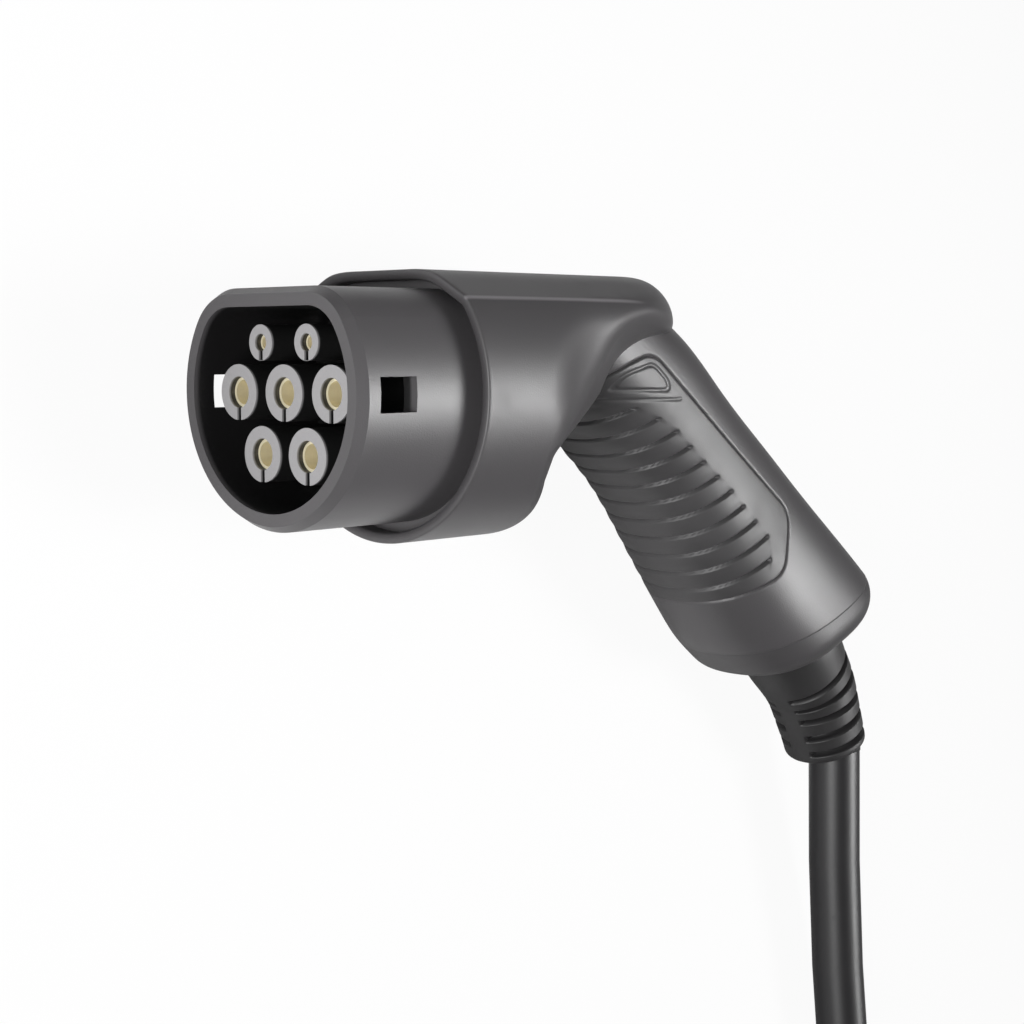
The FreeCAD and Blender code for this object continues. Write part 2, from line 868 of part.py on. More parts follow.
def core(name):
    """One insulated wire from its crimp barrel to the end of the cable's jacket."""
    y, z = post_places[name]
    side, depth = core_places[name]
    radius = power_core_radius if is_power(name) else pilot_core_radius
    jacket = cable_line()[0]
    start = V(shell_rear + barrel_length - crimp_depth + 1, y, z)
    first = V(core_bend_x, y, z)
    spread = core_spread
    second = on_grip(core_neck_along, depth * spread, side * spread)
    end = jacket + side_axis * side + depth_axis * depth
    third = end - along_axis * core_straight
    return tube([start, first, second, third, end], [core_bend] * 3, radius)


def coding_resistor():
    """The coding resistor behind the retainer, with a lead to each of two barrels."""
    y0, z0 = post_places["pp"]
    x = shell_rear + retainer_thickness + resistor_radius + screw_fit
    z = (z0 + power_barrel_radius) / 2
    y = y0 / 2
    body = Part.makeCylinder(resistor_radius, resistor_length,
                             V(x, y - resistor_length / 2, z), V(0, 1, 0))
    low = V(x, y + resistor_length / 2 - 1, z)
    high = V(x, y - resistor_length / 2 + 1, z)
    down = cylinder(lead_radius, low, low + V(0, 0, -1) * (z - power_barrel_radius - 0.4))
    up = cylinder(lead_radius, high, high + V(0, 0, 1) * (z0 - pilot_barrel_radius - z - 0.4))
    return body.fuse([down, up])


def carrier_screws():
    """The four carrier screws."""
    return Part.makeCompound([carrier_screw(y, z) for y, z in screw_places()])


def touching_roll(shapes):
    """The roll, in radians, at which the handle's end and the head touch one flat surface."""
    points = [p for shape in shapes for p in shape.tessellate(0.3)[0] if p.x > head_rear]
    low, high = 0.0, radians(40)
    while high - low > 0.0001:
        roll = (low + high) / 2
        lowest = min(p.z * sin(roll) - p.y * cos(roll) for p in points)
        if lowest < -head_radius:
            high = roll
        else:
            low = roll
    return low


def laid_down(nodes, roll):
    """Every piece turned on its side and set down, and where the cable leaves the relief."""
    angle = degrees(roll) - 90
    turned = {name: shape.rotated(V(0, 0, 0), V(1, 0, 0), angle)
              for name, shape in nodes.items()}
    bounds = Part.makeCompound(list(turned.values())).optimalBoundingBox()
    shift = V(-(bounds.XMin + bounds.XMax) / 2, -(bounds.YMin + bounds.YMax) / 2, head_radius)
    print("roll", round(degrees(roll), 3), "shift", shift)
    print("size", bounds.XLength, bounds.YLength, bounds.ZLength)
    exit_point = FreeCAD.Rotation(V(1, 0, 0), angle).multVec(
        V(cable_exit_x, cable_side, cable_exit_z)) + shift
    return {name: shape.translated(shift) for name, shape in turned.items()}, exit_point


def cable_route(exit_point, roll):
    """The free cable's corners: out of the relief, down to the surface, along to the coil."""
    way = V(0, -cos(roll), -sin(roll))
    landing = exit_point + way * ((exit_point.z - cable_radius) / sin(roll))
    return [exit_point, landing, landing - V(0, floor_run, 0)]


def free_cable(points):
    """The stretch of cable between the strain relief and the coil."""
    radii = []
    for before, corner, after in zip(points, points[1:], points[2:]):
        run = min((corner - before).Length, (after - corner).Length)
        turn = (corner - before).getAngle(after - corner)
        radii.append(0.45 * run / tan(turn / 2))
    path = rounded_path(points, radii)
    shape = tube(points, radii, cable_radius)
    ideal = path.Length * pi * cable_radius ** 2
    print("cable corners", points, "radii", [round(radius) for radius in radii])
    print("cable length", round(path.Length, 1), "volume ratio", round(shape.Volume / ideal, 5))
    return shape


def coil_outer_turn():
    """The radius of the coil's outermost turn at the middle of the cable."""
    return coil_mean_radius + (coil_turns_across - 1) * cable_radius


def end_axis(centre):
    """Start and direction of the cable's far end, where it leaves the coil's top layer."""
    height = cable_radius * (2 * coil_layers - 1)
    start = V(centre.x + coil_outer_turn(), centre.y, height)
    reach = end_stub + gland_nut_length + gland_body_length
    drop = asin((height - locknut_radius / cos(pi / 6)) / reach)
    return start, V(0, -cos(drop), -sin(drop))


def coil_ring(centre, wall):
    """The inner and outer radius and the height of the coil, grown by a wall."""
    inner = coil_outer_turn() - (2 * coil_turns_across - 1) * cable_radius - wall
    outer = coil_outer_turn() + cable_radius + wall
    height = 2 * coil_layers * cable_radius + wall
    ring = Part.makeCylinder(outer, height, centre)
    return ring.cut(Part.makeCylinder(inner, height, centre))


def coil_tie(centre):
    """The strap that holds the turns together, on the side away from the cable's ends."""
    slab = box(centre.x - 2 * far, centre.x, centre.y - tie_width / 2,
               centre.y + tie_width / 2, 0, far)
    return coil_ring(centre, tie_wall).common(slab).cut(coil_ring(centre, 0))


def cable_coil(centre):
    """The coil's outer form, with the ends of the cable that run into and out of it."""
    start, way = end_axis(centre)
    arrive = V(start.x, centre.y, cable_radius)
    return coil_ring(centre, 0).fuse([
        cylinder(cable_radius, arrive + V(0, coil_stub, 0), arrive),
        cylinder(cable_radius, start, start + way * end_stub)])


def hexagon(across, start, way, length):
    """A hexagon bar with the given distance from its middle to a flat."""
    side = V(1, 0, 0)
    up = way.cross(side)
    corner = across / cos(pi / 6)
    points = [start + side * (corner * cos(pi / 6 + step * pi / 3))
              + up * (corner * sin(pi / 6 + step * pi / 3)) for step in range(7)]
    return prism(Part.makePolygon(points), way * length)


def gland_pieces(centre):
    """The cable gland at the far end, and the stripped cores that come out of it."""
    start, way = end_axis(centre)
    seat = start + way * end_stub
    waist = seat + way * gland_nut_length
    face = waist + way * (gland_body_length - gland_thread_length)
    tip = waist + way * gland_body_length
    dome = Part.makeCone(cable_radius + 2, gland_radius, gland_nut_length * 0.4, seat, way)
    grip = hexagon(gland_radius, seat + way * (gland_nut_length * 0.4), way,
                   gland_nut_length * 0.6)
    body = hexagon(gland_radius, waist, way, gland_body_length - gland_thread_length)
    body = body.fuse(cylinder(gland_thread_radius, face, tip))
    nut_start = tip - way * (locknut_thickness + 2)
    nut = hexagon(locknut_radius, nut_start, way, locknut_thickness)
    nut = nut.cut(cylinder(gland_thread_radius, face, tip))
    side, up = V(1, 0, 0), way.cross(V(1, 0, 0))
    cores, ferrules = [], []
    for name, (across, depth) in core_places.items():
        radius = power_core_radius if is_power(name) else pilot_core_radius
        foot = tip + side * across + up * depth
        end = foot + way * core_tail
        cores.append(cylinder(radius, foot, end))
        ferrules.append(cylinder(radius * 0.7, end, end + way * ferrule_length))
    return {
        "gland_nut": dome.fuse(grip),
        "gland_body": body,
        "gland_locknut": nut,
        "far_end_cores": Part.makeCompound(cores),
        "far_end_ferrules": Part.makeCompound(ferrules),
    }


def object_nodes():
    """Every piece of the connector itself, level, before it is laid down."""
    grip = rounded_grip()
    barrel = barrel_form(0, collar_front)
    nodes = {
        "handle_housing": handle_housing(grip, barrel),
        "grip_pad": grip_pad(grip, barrel),
        "end_cap": end_cap(grip),
        "front_shell": front_shell(),
        "shell_gasket": shell_gasket(),
        "contact_carrier": contact_carrier(),
        "carrier_seal": carrier_seal(),
        "contact_retainer": retainer(),
        "carrier_screws": carrier_screws(),
        "coding_resistor": coding_resistor(),
        "strain_relief": strain_relief(),
        "cable_inside": cable_sweep(cable_radius),
        "clamp_saddle": clamp_saddle(),
        "clamp_bar": clamp_top(),
        "clamp_screws": clamp_screws(),
    }
    for name in post_places:
        nodes["contact_" + name] = contact(name)
        nodes["core_" + name] = core(name)
    return nodes


def cord_nodes(points):
    """The cable outside the connector, and what is on it."""
    arrive = points[-1]
    centre = V(arrive.x - coil_outer_turn(), arrive.y - coil_stub, 0)
    nodes = {
        "charging_cable": free_cable(points),
        "cable_coil": cable_coil(centre),
        "coil_tie": coil_tie(centre),
    }
    nodes.update(gland_pieces(centre))
    return nodes


def main():
    """Build every piece, lay the connector down and write each one."""
    os.makedirs("parts", exist_ok=True)
    level = object_nodes()
    roll = touching_roll([level["end_cap"], level["handle_housing"]])
    nodes, exit_point = laid_down(level, roll)
    nodes.update(cord_nodes(cable_route(exit_point, roll)))
    for name, shape in nodes.items():
        print(name, shape.isValid(), len(shape.Solids), round(shape.Volume))
        shape.exportStep("parts/" + name + ".step")


main()
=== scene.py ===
import json
import math

import bmesh
import bpy
import numpy as np
from bpy.props import FloatProperty, FloatVectorProperty, IntProperty, PointerProperty
from mathutils import Matrix, Vector


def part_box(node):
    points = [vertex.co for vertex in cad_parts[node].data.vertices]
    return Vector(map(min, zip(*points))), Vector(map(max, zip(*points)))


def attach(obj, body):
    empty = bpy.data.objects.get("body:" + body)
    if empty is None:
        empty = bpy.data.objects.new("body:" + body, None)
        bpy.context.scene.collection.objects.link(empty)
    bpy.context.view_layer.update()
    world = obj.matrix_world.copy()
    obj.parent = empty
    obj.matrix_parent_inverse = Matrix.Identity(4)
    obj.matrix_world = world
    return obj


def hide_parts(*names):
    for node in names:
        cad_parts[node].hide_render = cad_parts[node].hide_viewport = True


bl_info = {
    "name": "Charging connector looks",
    "version": (1, 0, 0),
    "blender": (4, 5, 0),
    "location": "3D Viewport > Sidebar > Connector",
    "description": "Housing, cable, finishes and studio for a vehicle charging connector",
    "category": "Object",
}

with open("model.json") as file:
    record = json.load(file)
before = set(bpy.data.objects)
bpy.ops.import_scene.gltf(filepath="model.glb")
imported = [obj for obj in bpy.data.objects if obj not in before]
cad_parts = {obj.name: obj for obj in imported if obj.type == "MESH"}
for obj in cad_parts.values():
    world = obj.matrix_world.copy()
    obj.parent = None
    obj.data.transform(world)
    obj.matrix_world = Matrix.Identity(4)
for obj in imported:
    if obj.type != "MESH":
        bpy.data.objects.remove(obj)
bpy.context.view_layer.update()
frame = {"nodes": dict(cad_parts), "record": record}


def middle(node):
    """The middle of a CAD node's box."""
    low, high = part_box(node)
    return (low + high) / 2


def held_level():
    """The matrix that carries a place on the connector held level to where it lies.

    Level: -X out of the mating face, +Z up through its keyed flat, origin in the middle of
    the face. The roll is read from the line between two of the sockets."""
    earth, side = middle("contact_pe"), middle("contact_n")
    roll = math.atan2(side.y - earth.y, earth.z - side.z)
    turn = Matrix.Rotation(roll - math.pi / 2, 4, "X")
    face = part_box("front_shell")[0].x
    return Matrix.Translation(Vector((face, earth.y, earth.z))) @ turn


LEVEL = held_level()


def lying(points):
    """Rows of level points in millimetres, as places in the frame in metres."""
    points = np.asarray(points, float) / 1000
    turn = np.array(LEVEL.to_3x3())
    return points @ turn.T + np.array(LEVEL.translation)


class Wire:
    """A shader socket that can be used in sums. An operator adds its Math node."""

    def __init__(self, tree, socket):
        self.tree = tree
        self.socket = socket

    def maths(self, operation, *values):
        return add_node(self.tree, "ShaderNodeMath", {"operation": operation},
                        dict(enumerate(values)))

    def __add__(self, other):
        return self.maths("ADD", self, other)

    def __sub__(self, other):
        return self.maths("SUBTRACT", self, other)

    def __rsub__(self, other):
        return self.maths("SUBTRACT", other, self)

    def __mul__(self, other):
        return self.maths("MULTIPLY", self, other)

    def __pow__(self, other):
        return self.maths("POWER", self, other)

    __radd__ = __add__
    __rmul__ = __mul__


def add_node(tree, kind, settings=None, values=None, output=0):
    """A node of any type: its settings are set first, then its sockets, and one of its
    outputs is given back."""
    node = tree.nodes.new(kind)
    for name, value in (settings or {}).items():
        if name == "stops":
            ramp = node.color_ramp
            while len(ramp.elements) < len(value):
                ramp.elements.new(0.5)
            for element, (place, shade) in zip(ramp.elements, value):
                element.position = place
                element.color = (shade, shade, shade, 1)
        else:
            setattr(node, name, value)
    for key, value in (values or {}).items():
        if isinstance(value, Wire):
            tree.links.new(value.socket, node.inputs[key])
        else:
            node.inputs[key].default_value = value
    return Wire(tree, node.outputs[output])


def new_material(name):
    """An empty node material with its shader and output joined."""
    made = bpy.data.materials.new(name)
    made.use_nodes = True
    tree = made.node_tree
    tree.nodes.clear()
    shader = tree.nodes.new("ShaderNodeBsdfPrincipled")
    end = tree.nodes.new("ShaderNodeOutputMaterial")
    tree.links.new(shader.outputs[0], end.inputs[0])
    return made, tree, shader


def place_of(tree):
    """The point on the object, in metres."""
    return add_node(tree, "ShaderNodeTexCoord", output=3)


def parts_of(tree):
    """The X, Y and Z of the point on the object, in millimetres."""
    place = place_of(tree)
    return [add_node(tree, "ShaderNodeSeparateXYZ", {}, {0: place}, output=axis) * 1000.0
            for axis in range(3)]


def noise(tree, scale, detail=3.0, rough=0.5):
    """A fractal noise from 0 to 1, with its scale in features per metre."""
    return add_node(tree, "ShaderNodeTexNoise", {}, {
        "Vector": place_of(tree), "Scale": scale, "Detail": detail, "Roughness": rough})


def ramp(tree, factor, stops):
    """A grey ramp of a value."""
    return add_node(tree, "ShaderNodeValToRGB", {"stops": stops}, {"Fac": factor})


def mixed(tree, factor, first, second):
    """A blend of two colours."""
    return add_node(tree, "ShaderNodeMix", {"data_type": "RGBA"},
                    {0: factor, 6: first, 7: second}, output=2)


def bump(tree, height, distance, strength=1.0):
    """A normal from a height in units of the distance."""
    return add_node(tree, "ShaderNodeBump", {}, {
        "Height": height, "Distance": distance, "Strength": strength})


def link(shader, tree, name, wire):
    """Feeds one of the shader's sockets."""
    tree.links.new(wire.socket, shader.inputs[name])


def shade(colour, factor):
    """A colour made lighter or darker, with full alpha."""
    return tuple(min(1.0, part * factor) for part in colour[:3]) + (1.0,)


CREASE = Vector((0, 0.0305, 0.0226))
CAVITY_TOP = 23.1
CAVITY_REACH = 31.1


def along_creases(tree):
    """1 on the creases that run along the two sides of the head, 0 a millimetre off: the mask
    of their painted highlight.
    """
    _, y, z = parts_of(tree)
    marks = []
    for side in (-1, 1):
        crease = LEVEL @ Vector((0, side * CREASE.y, CREASE.z)) * 1000
        off = ((y - crease.y) ** 2 + (z - crease.z) ** 2) ** 0.5
        marks.append(ramp(tree, off, [(0.25, 1.0), (1.0, 0.0)]))
    return marks[0] + marks[1]


def in_cavity(tree):
    """1 inside the front shell's wall, 0 on its end face and its outside: the mask of the shade
    painted into the cavity. The inside is what lies behind the face, below the flat and within
    the round wall; it fades in from
    0.6 to 1.75 mm behind the face."""
    centre = middle("contact_pe") * 1000
    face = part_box("front_shell")[0].x * 1000
    up = LEVEL.to_3x3() @ Vector((0, 0, 1))
    x, y, z = parts_of(tree)
    y, z = y - centre.y, z - centre.z
    reach = (y ** 2 + z ** 2) ** 0.5
    height = y * up.y + z * up.z
    deep = ramp(tree, (x - face) * 0.2, [(0.12, 0.0), (0.35, 1.0)])
    below = ramp(tree, CAVITY_TOP - height, [(0.0, 0.0), (1.0, 1.0)])
    within = ramp(tree, CAVITY_REACH - reach, [(0.0, 0.0), (1.0, 1.0)])
    return deep * below * within


def moulded_plastic(name, colour, rough, painted_crease_highlight=False, hollow=False):
    """Spark-eroded plastic: fine even grain, faint cloudiness and a few dull scuffs. The
    creases can get a painted pale highlight, and a cavity painted shade."""
    made, tree, shader = new_material(name)
    cloud = noise(tree, 24.0, 4.0, 0.6)
    speck = noise(tree, 2600.0, 2.0, 0.6)
    scuff = ramp(tree, noise(tree, 70.0, 6.0, 0.7), [(0.60, 0.0), (0.72, 1.0)])
    tone = cloud * 0.7 + speck * 0.3
    base = mixed(tree, tone, shade(colour, 0.9), shade(colour, 1.1))
    base = mixed(tree, scuff * 0.10, base, shade(colour, 1.6))
    if painted_crease_highlight:
        # painted highlight: a pale line, four times lighter, along each crease
        base = mixed(tree, along_creases(tree) * (cloud * 0.4 + 0.6), base, shade(colour, 4.0))
    if hollow:
        # painted shade: the cavity's inside is darkened to an eighth of the plastic's colour
        base = mixed(tree, in_cavity(tree), base, shade(colour, 0.12))
    link(shader, tree, "Base Color", base)
    link(shader, tree, "Roughness", cloud * 0.10 + speck * 0.06 + scuff * 0.05 + (rough - 0.08))
    link(shader, tree, "Normal", bump(tree, speck, 0.00004))
    return made


def post_plastic(name, deep, painted_light_tips):
    """Black insulator whose posts' end faces, found by their place along X, get a painted pale
    light.
    """
    made, tree, shader = new_material(name)
    behind = parts_of(tree)[0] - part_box("contact_carrier")[0].x * 1000
    # painted light: the posts' end faces are painted pale grey, fading to black 0.7 mm behind
    # them
    pale = ramp(tree, behind, [(0.25, 1.0), (0.7, 0.0)])
    speck = noise(tree, 2600.0, 2.0, 0.6)
    painted_light_tip = mixed(tree, speck, shade(painted_light_tips, 0.9), shade(painted_light_tips, 1.1))
    link(shader, tree, "Base Color", mixed(tree, pale, shade(deep, 1.0), painted_light_tip))
    link(shader, tree, "Roughness", speck * 0.08 + 0.42)
    link(shader, tree, "Normal", bump(tree, speck, 0.00003))
    return made


def soft_rubber(name, colour, rough):
    """Soft moulded rubber: silky, with a dusty film in places."""
    made, tree, shader = new_material(name)
    film = ramp(tree, noise(tree, 55.0, 5.0, 0.65), [(0.42, 0.0), (0.75, 1.0)])
    speck = noise(tree, 3200.0, 2.0, 0.5)
    base = mixed(tree, film * 0.35, shade(colour, 0.92), shade(colour, 1.35))
    link(shader, tree, "Base Color", base)
    link(shader, tree, "Roughness", film * 0.12 + speck * 0.06 + (rough - 0.06))
    link(shader, tree, "Normal", bump(tree, speck, 0.00003))
    return made


def turned_metal(name, colour, rough, metallic=1.0):
    """Turned and plated metal: fine rings and a slight tarnish."""
    made, tree, shader = new_material(name)
    tarnish = noise(tree, 260.0, 5.0, 0.6)
    fine = noise(tree, 4200.0, 2.0, 0.5)
    base = mixed(tree, tarnish, shade(colour, 0.82), shade(colour, 1.08))
    link(shader, tree, "Base Color", base)
    link(shader, tree, "Roughness", tarnish * 0.16 + fine * 0.06 + (rough - 0.1))
    shader.inputs["Metallic"].default_value = metallic
    link(shader, tree, "Normal", bump(tree, fine, 0.00001))
    return made


def glossy_insulation(name, colour, rough, stripe=None):
    """Extruded wire insulation: smooth, a little cloudy. An earth wire has a second colour."""
    made, tree, shader = new_material(name)
    cloud = noise(tree, 140.0, 3.0, 0.5)
    base = mixed(tree, cloud, shade(colour, 0.9), shade(colour, 1.1))
    if stripe:
        patch = ramp(tree, noise(tree, 160.0, 0.0), [(0.48, 0.0), (0.52, 1.0)])
        base = mixed(tree, patch, base, shade(stripe, 1.0))
    link(shader, tree, "Base Color", base)
    link(shader, tree, "Roughness", cloud * 0.1 + (rough - 0.05))
    return made


def cable_jacket(name, colour, rough):
    """A smooth extruded jacket: satin with a glossy streak, a fine pull and handling marks."""
    made, tree, shader = new_material(name)
    cloud = noise(tree, 60.0, 4.0, 0.6)
    pull = noise(tree, 1500.0, 2.0, 0.5)
    mark = ramp(tree, noise(tree, 130.0, 6.0, 0.7), [(0.62, 0.0), (0.74, 1.0)])
    base = mixed(tree, cloud, shade(colour, 0.9), shade(colour, 1.15))
    base = mixed(tree, mark * 0.2, base, shade(colour, 1.8))
    link(shader, tree, "Base Color", base)
    link(shader, tree, "Roughness", cloud * 0.08 + mark * 0.15 + (rough - 0.04))
    link(shader, tree, "Normal", bump(tree, pull, 0.00002))
    return made


def woven_strap(name, colour):
    """A woven strap: crossed threads under a dull sheen."""
    made, tree, shader = new_material(name)
    weave = add_node(tree, "ShaderNodeTexWave", {"bands_direction": "DIAGONAL"}, {
        "Vector": place_of(tree), "Scale": 420.0, "Distortion": 0.6}, output=1)
    base = mixed(tree, weave, shade(colour, 0.7), shade(colour, 1.4))
    link(shader, tree, "Base Color", base)
    link(shader, tree, "Roughness", weave * 0.1 + 0.75)
    link(shader, tree, "Normal", bump(tree, weave, 0.0002))
    return made


WIRES = {
    "blue": [(0.03, 0.12, 0.42), 0.38],
    "earth": [(0.05, 0.25, 0.04), 0.38, (0.75, 0.62, 0.03)],
    "brown": [(0.16, 0.06, 0.03), 0.38],
    "black": [(0.02, 0.02, 0.02), 0.38],
    "grey": [(0.28, 0.28, 0.29), 0.38],
    "white": [(0.7, 0.7, 0.68), 0.38],
    "red": [(0.42, 0.03, 0.02), 0.38],
}


def finish_for(settings):
    """One finish for each material slot of the record."""
    grey = tuple(settings.housing_colour)
    pad = tuple(settings.pad_colour)
    jacket = tuple(settings.cable_colour)
    return {
        # housing: with a painted highlight along its creases
        "housing": moulded_plastic("housing plastic", grey, 0.42, painted_crease_highlight=True),
        "cap": moulded_plastic("end cap plastic", shade(grey, 0.8), 0.45),
        # front shell: with painted shade inside its cavity
        "shell": moulded_plastic("front shell plastic", shade(grey, 1.15), 0.40, hollow=True),
        # insulator: black, with painted light on its posts' end faces
        "carrier": post_plastic("insulator plastic", (0.006, 0.006, 0.006),
                                (0.24, 0.235, 0.24)),
        "retainer": moulded_plastic("retainer plastic", shade(grey, 1.3), 0.5),
        "clamp": moulded_plastic("clamp plastic", shade(grey, 1.5), 0.5),
        "gland": moulded_plastic("gland plastic", shade(grey, 1.1), 0.38),
        "pad": soft_rubber("grip pad rubber", pad, 0.48),
        "relief": soft_rubber("strain relief rubber", shade(pad, 0.45), 0.5),
        "seal": soft_rubber("seal rubber", (0.03, 0.03, 0.03), 0.5),
        "jacket": cable_jacket("cable jacket", jacket, 0.42),
        "contact": turned_metal("plated contact", (0.9, 0.82, 0.58), 0.3, 0.55),
        "screw": turned_metal("screw steel", (0.55, 0.55, 0.54), 0.34),
        "ferrule": turned_metal("tinned ferrule", (0.68, 0.68, 0.67), 0.30),
        "resistor": glossy_insulation("resistor coat", (0.36, 0.52, 0.62), 0.3),
        **{f"wire_{name}": glossy_insulation(f"{name} insulation", *colours)
           for name, colours in WIRES.items()},
        "tails": glossy_insulation("core insulation", (0.10, 0.10, 0.11), 0.38),
        "tie": woven_strap("woven strap", (0.04, 0.04, 0.042)),
    }


def dress(thing, finish):
    """Gives an object one material."""
    thing.data.materials.clear()
    thing.data.materials.append(finish)


def linked(name, data):
    """A new object at the origin."""
    thing = bpy.data.objects.new(name, data)
    bpy.context.scene.collection.objects.link(thing)
    return thing


class ConnectorLooks(bpy.types.PropertyGroup):
    """Colours of the connector and its cable."""

    housing_colour: FloatVectorProperty(
        name="Housing", description="Colour of the moulded housing", subtype="COLOR",
        default=(0.053, 0.0505, 0.053), min=0, max=1)
    pad_colour: FloatVectorProperty(
        name="Grip pad", description="Colour of the soft pad and strain relief",
        subtype="COLOR", default=(0.040, 0.0385, 0.040), min=0, max=1)
    cable_colour: FloatVectorProperty(
        name="Cable", description="Colour of the cable's jacket", subtype="COLOR",
        default=(0.011, 0.0105, 0.0115), min=0, max=1)


class HousingSizes(bpy.types.PropertyGroup):
    """Sizes of the housing's outer form on the level connector."""

    rear_reach: FloatProperty(
        name="Rear reach", description="Length of the half oval behind the head",
        unit="LENGTH", default=0.0495, min=0.04, max=0.06)
    rear_round: FloatProperty(
        name="Rear rounding", description="Rounding of the head's upper rear edge",
        unit="LENGTH", default=0.015, min=0.004, max=0.02)
    hollow: FloatProperty(
        name="Hollow", description="Soft fill where the walls meet the roof",
        unit="LENGTH", default=0.007, min=0.001, max=0.015)
    edge: FloatProperty(
        name="Edge", description="Softness of the head's edges",
        unit="LENGTH", default=0.0022, min=0.0005, max=0.006)
    wall: FloatProperty(
        name="Wall", description="Thickness of the housing's wall",
        unit="LENGTH", default=0.0027, min=0.001, max=0.005)


class PadSizes(bpy.types.PropertyGroup):
    """Sizes of the grip pad's ribs."""

    rib_pitch: FloatProperty(
        name="Rib pitch", description="From one rib of the grip pad to the next",
        unit="LENGTH", default=0.00675, min=0.003, max=0.012)
    rib_depth: FloatProperty(
        name="Rib depth", description="Depth of the grooves between the ribs",
        unit="LENGTH", default=0.00115, min=0.0002, max=0.002)
    thickness: FloatProperty(
        name="Thickness", description="Thickness of the pad",
        unit="LENGTH", default=0.0024, min=0.001, max=0.004)


class ReliefSizes(bpy.types.PropertyGroup):
    """Sizes of the strain relief's slits."""

    slits: IntProperty(
        name="Slits", description="Slits on the two sides together", default=9, min=1, max=11)
    slit_step: FloatProperty(
        name="Slit step", description="From a slit to the next one on the other side",
        unit="LENGTH", default=0.0033, min=0.002, max=0.006)
    slit_width: FloatProperty(
        name="Slit width", description="Half a slit's width along the relief",
        unit="LENGTH", default=0.00125, min=0.0005, max=0.002)
    slit_depth: FloatProperty(
        name="Slit depth", description="Depth of the slits",
        unit="LENGTH", default=0.0034, min=0.001, max=0.004)


class CableSizes(bpy.types.PropertyGroup):
    """Sizes of the free cable and its coil."""

    diameter: FloatProperty(
        name="Diameter", description="Across the cable's jacket", unit="LENGTH",
        default=0.0166, min=0.004, max=0.04)
    outer_turn: FloatProperty(
        name="Outer turn", description="Radius of the coil's outermost turn", unit="LENGTH",
        default=0.1184, min=0.05, max=0.4)
    turns_across: IntProperty(
        name="Turns across", description="Turns side by side in one layer", default=4,
        min=1, max=12)
    points_per_turn: IntProperty(
        name="Points per turn", description="Spline points in each turn of the coil",
        default=24, min=12, max=64)


class StudioSettings(bpy.types.PropertyGroup):
    """Camera and floor."""

    lens: FloatProperty(
        name="Lens", description="Focal length of the camera", unit="CAMERA", default=65.56,
        min=20, max=300)
    floor_colour: FloatVectorProperty(
        name="Floor", description="Colour of the floor", subtype="COLOR",
        default=(0.6, 0.6, 0.6), min=0, max=1)


class InMillimetres:
    """Reads the lengths of a group of settings in millimetres."""

    def __init__(self, group):
        self.group = group

    def __getattr__(self, name):
        return round(getattr(self.group, name) * 1000, 4)


def soft_least(first, second, reach):
    """The smaller of two distances, with the hollow between the two forms filled softly:
    a blend of the two by their difference over the reach, less reach x share x (1 - share)."""
    share = np.clip(0.5 + 0.5 * (second - first) / reach, 0, 1)
    return second + (first - second) * share - reach * share * (1 - share)


def soft_most(first, second, reach):
    """The larger of two distances, with the edge between the two forms softened."""
    return -soft_least(-first, -second, reach)


def ease(value):
    """Runs smoothly from 0 to 1 as the value does."""
    value = np.clip(value, 0, 1)
    return value * value * (3 - 2 * value)


# The head's form on the level connector, in millimetres and radians.
HEAD_FRONT = 35.3
HEAD_LIP = 36.2
HEAD_RADIUS = 38.0
HEAD_TOP = 30.0
CHAMFER_LEAN = math.radians(29.0)
CHAMFER_REACH = 34.48
DOME_START = 86.0
DOME_HALF = 33.0
DOME_DROP = 13.0
WALL_LEAN = math.radians(32.0)
WALL_RISE = math.radians(54.0)
WALL_START = 68.6
WALL_NOSE = 11.0
HEEL_SLOPE = 0.839
HEEL_NOSE = 8.0
HEEL_ROUND = 15.5
HEEL_LEVEL = -22.5
ROOF_HEIGHT = 12.2
ROOF_HALF = 22.0
HEAD_MIDDLE = ([35, 80, 100, 110, 136], [0, 0, 12, 18, 18])


def section_gap(y, z):
    """Distance outside the head's D: a circle, a flat on top, and between them a chamfer,
    y sin lean + z cos lean = reach, that leaves the crease along each side."""
    circle = np.hypot(y, z) - HEAD_RADIUS
    chamfer = np.abs(y) * math.sin(CHAMFER_LEAN) + z * math.cos(CHAMFER_LEAN) - CHAMFER_REACH
    return soft_most(circle, soft_most(chamfer, z - HEAD_TOP, 3.0), 0.4)


def dome_gap(sizes, x, y, z):
    """Distance outside the round rear: a half oval in plan that opens forwards, with its
    upper edge rounded to a quarter ellipse. The oval's distance is its ratio x (ratio - 1)
    over its slope, where the ratio is 1 on the oval."""
    back = np.maximum(x - DOME_START, 0)
    side = np.maximum(np.abs(y), 1e-6)
    length = sizes.rear_reach
    ratio = np.hypot(back / length, side / DOME_HALF)
    slope = np.hypot(back / length ** 2, side / DOME_HALF ** 2)
    oval = ratio * (ratio - 1) / np.maximum(slope, 1e-9)
    oval = oval - np.maximum(DOME_START - x, 0) ** 2 / 120
    corner = np.hypot(np.maximum(oval / sizes.rear_round + 1, 0),
                      np.maximum((z - HEAD_TOP) / DOME_DROP + 1, 0))
    return (corner - 1) * sizes.rear_round


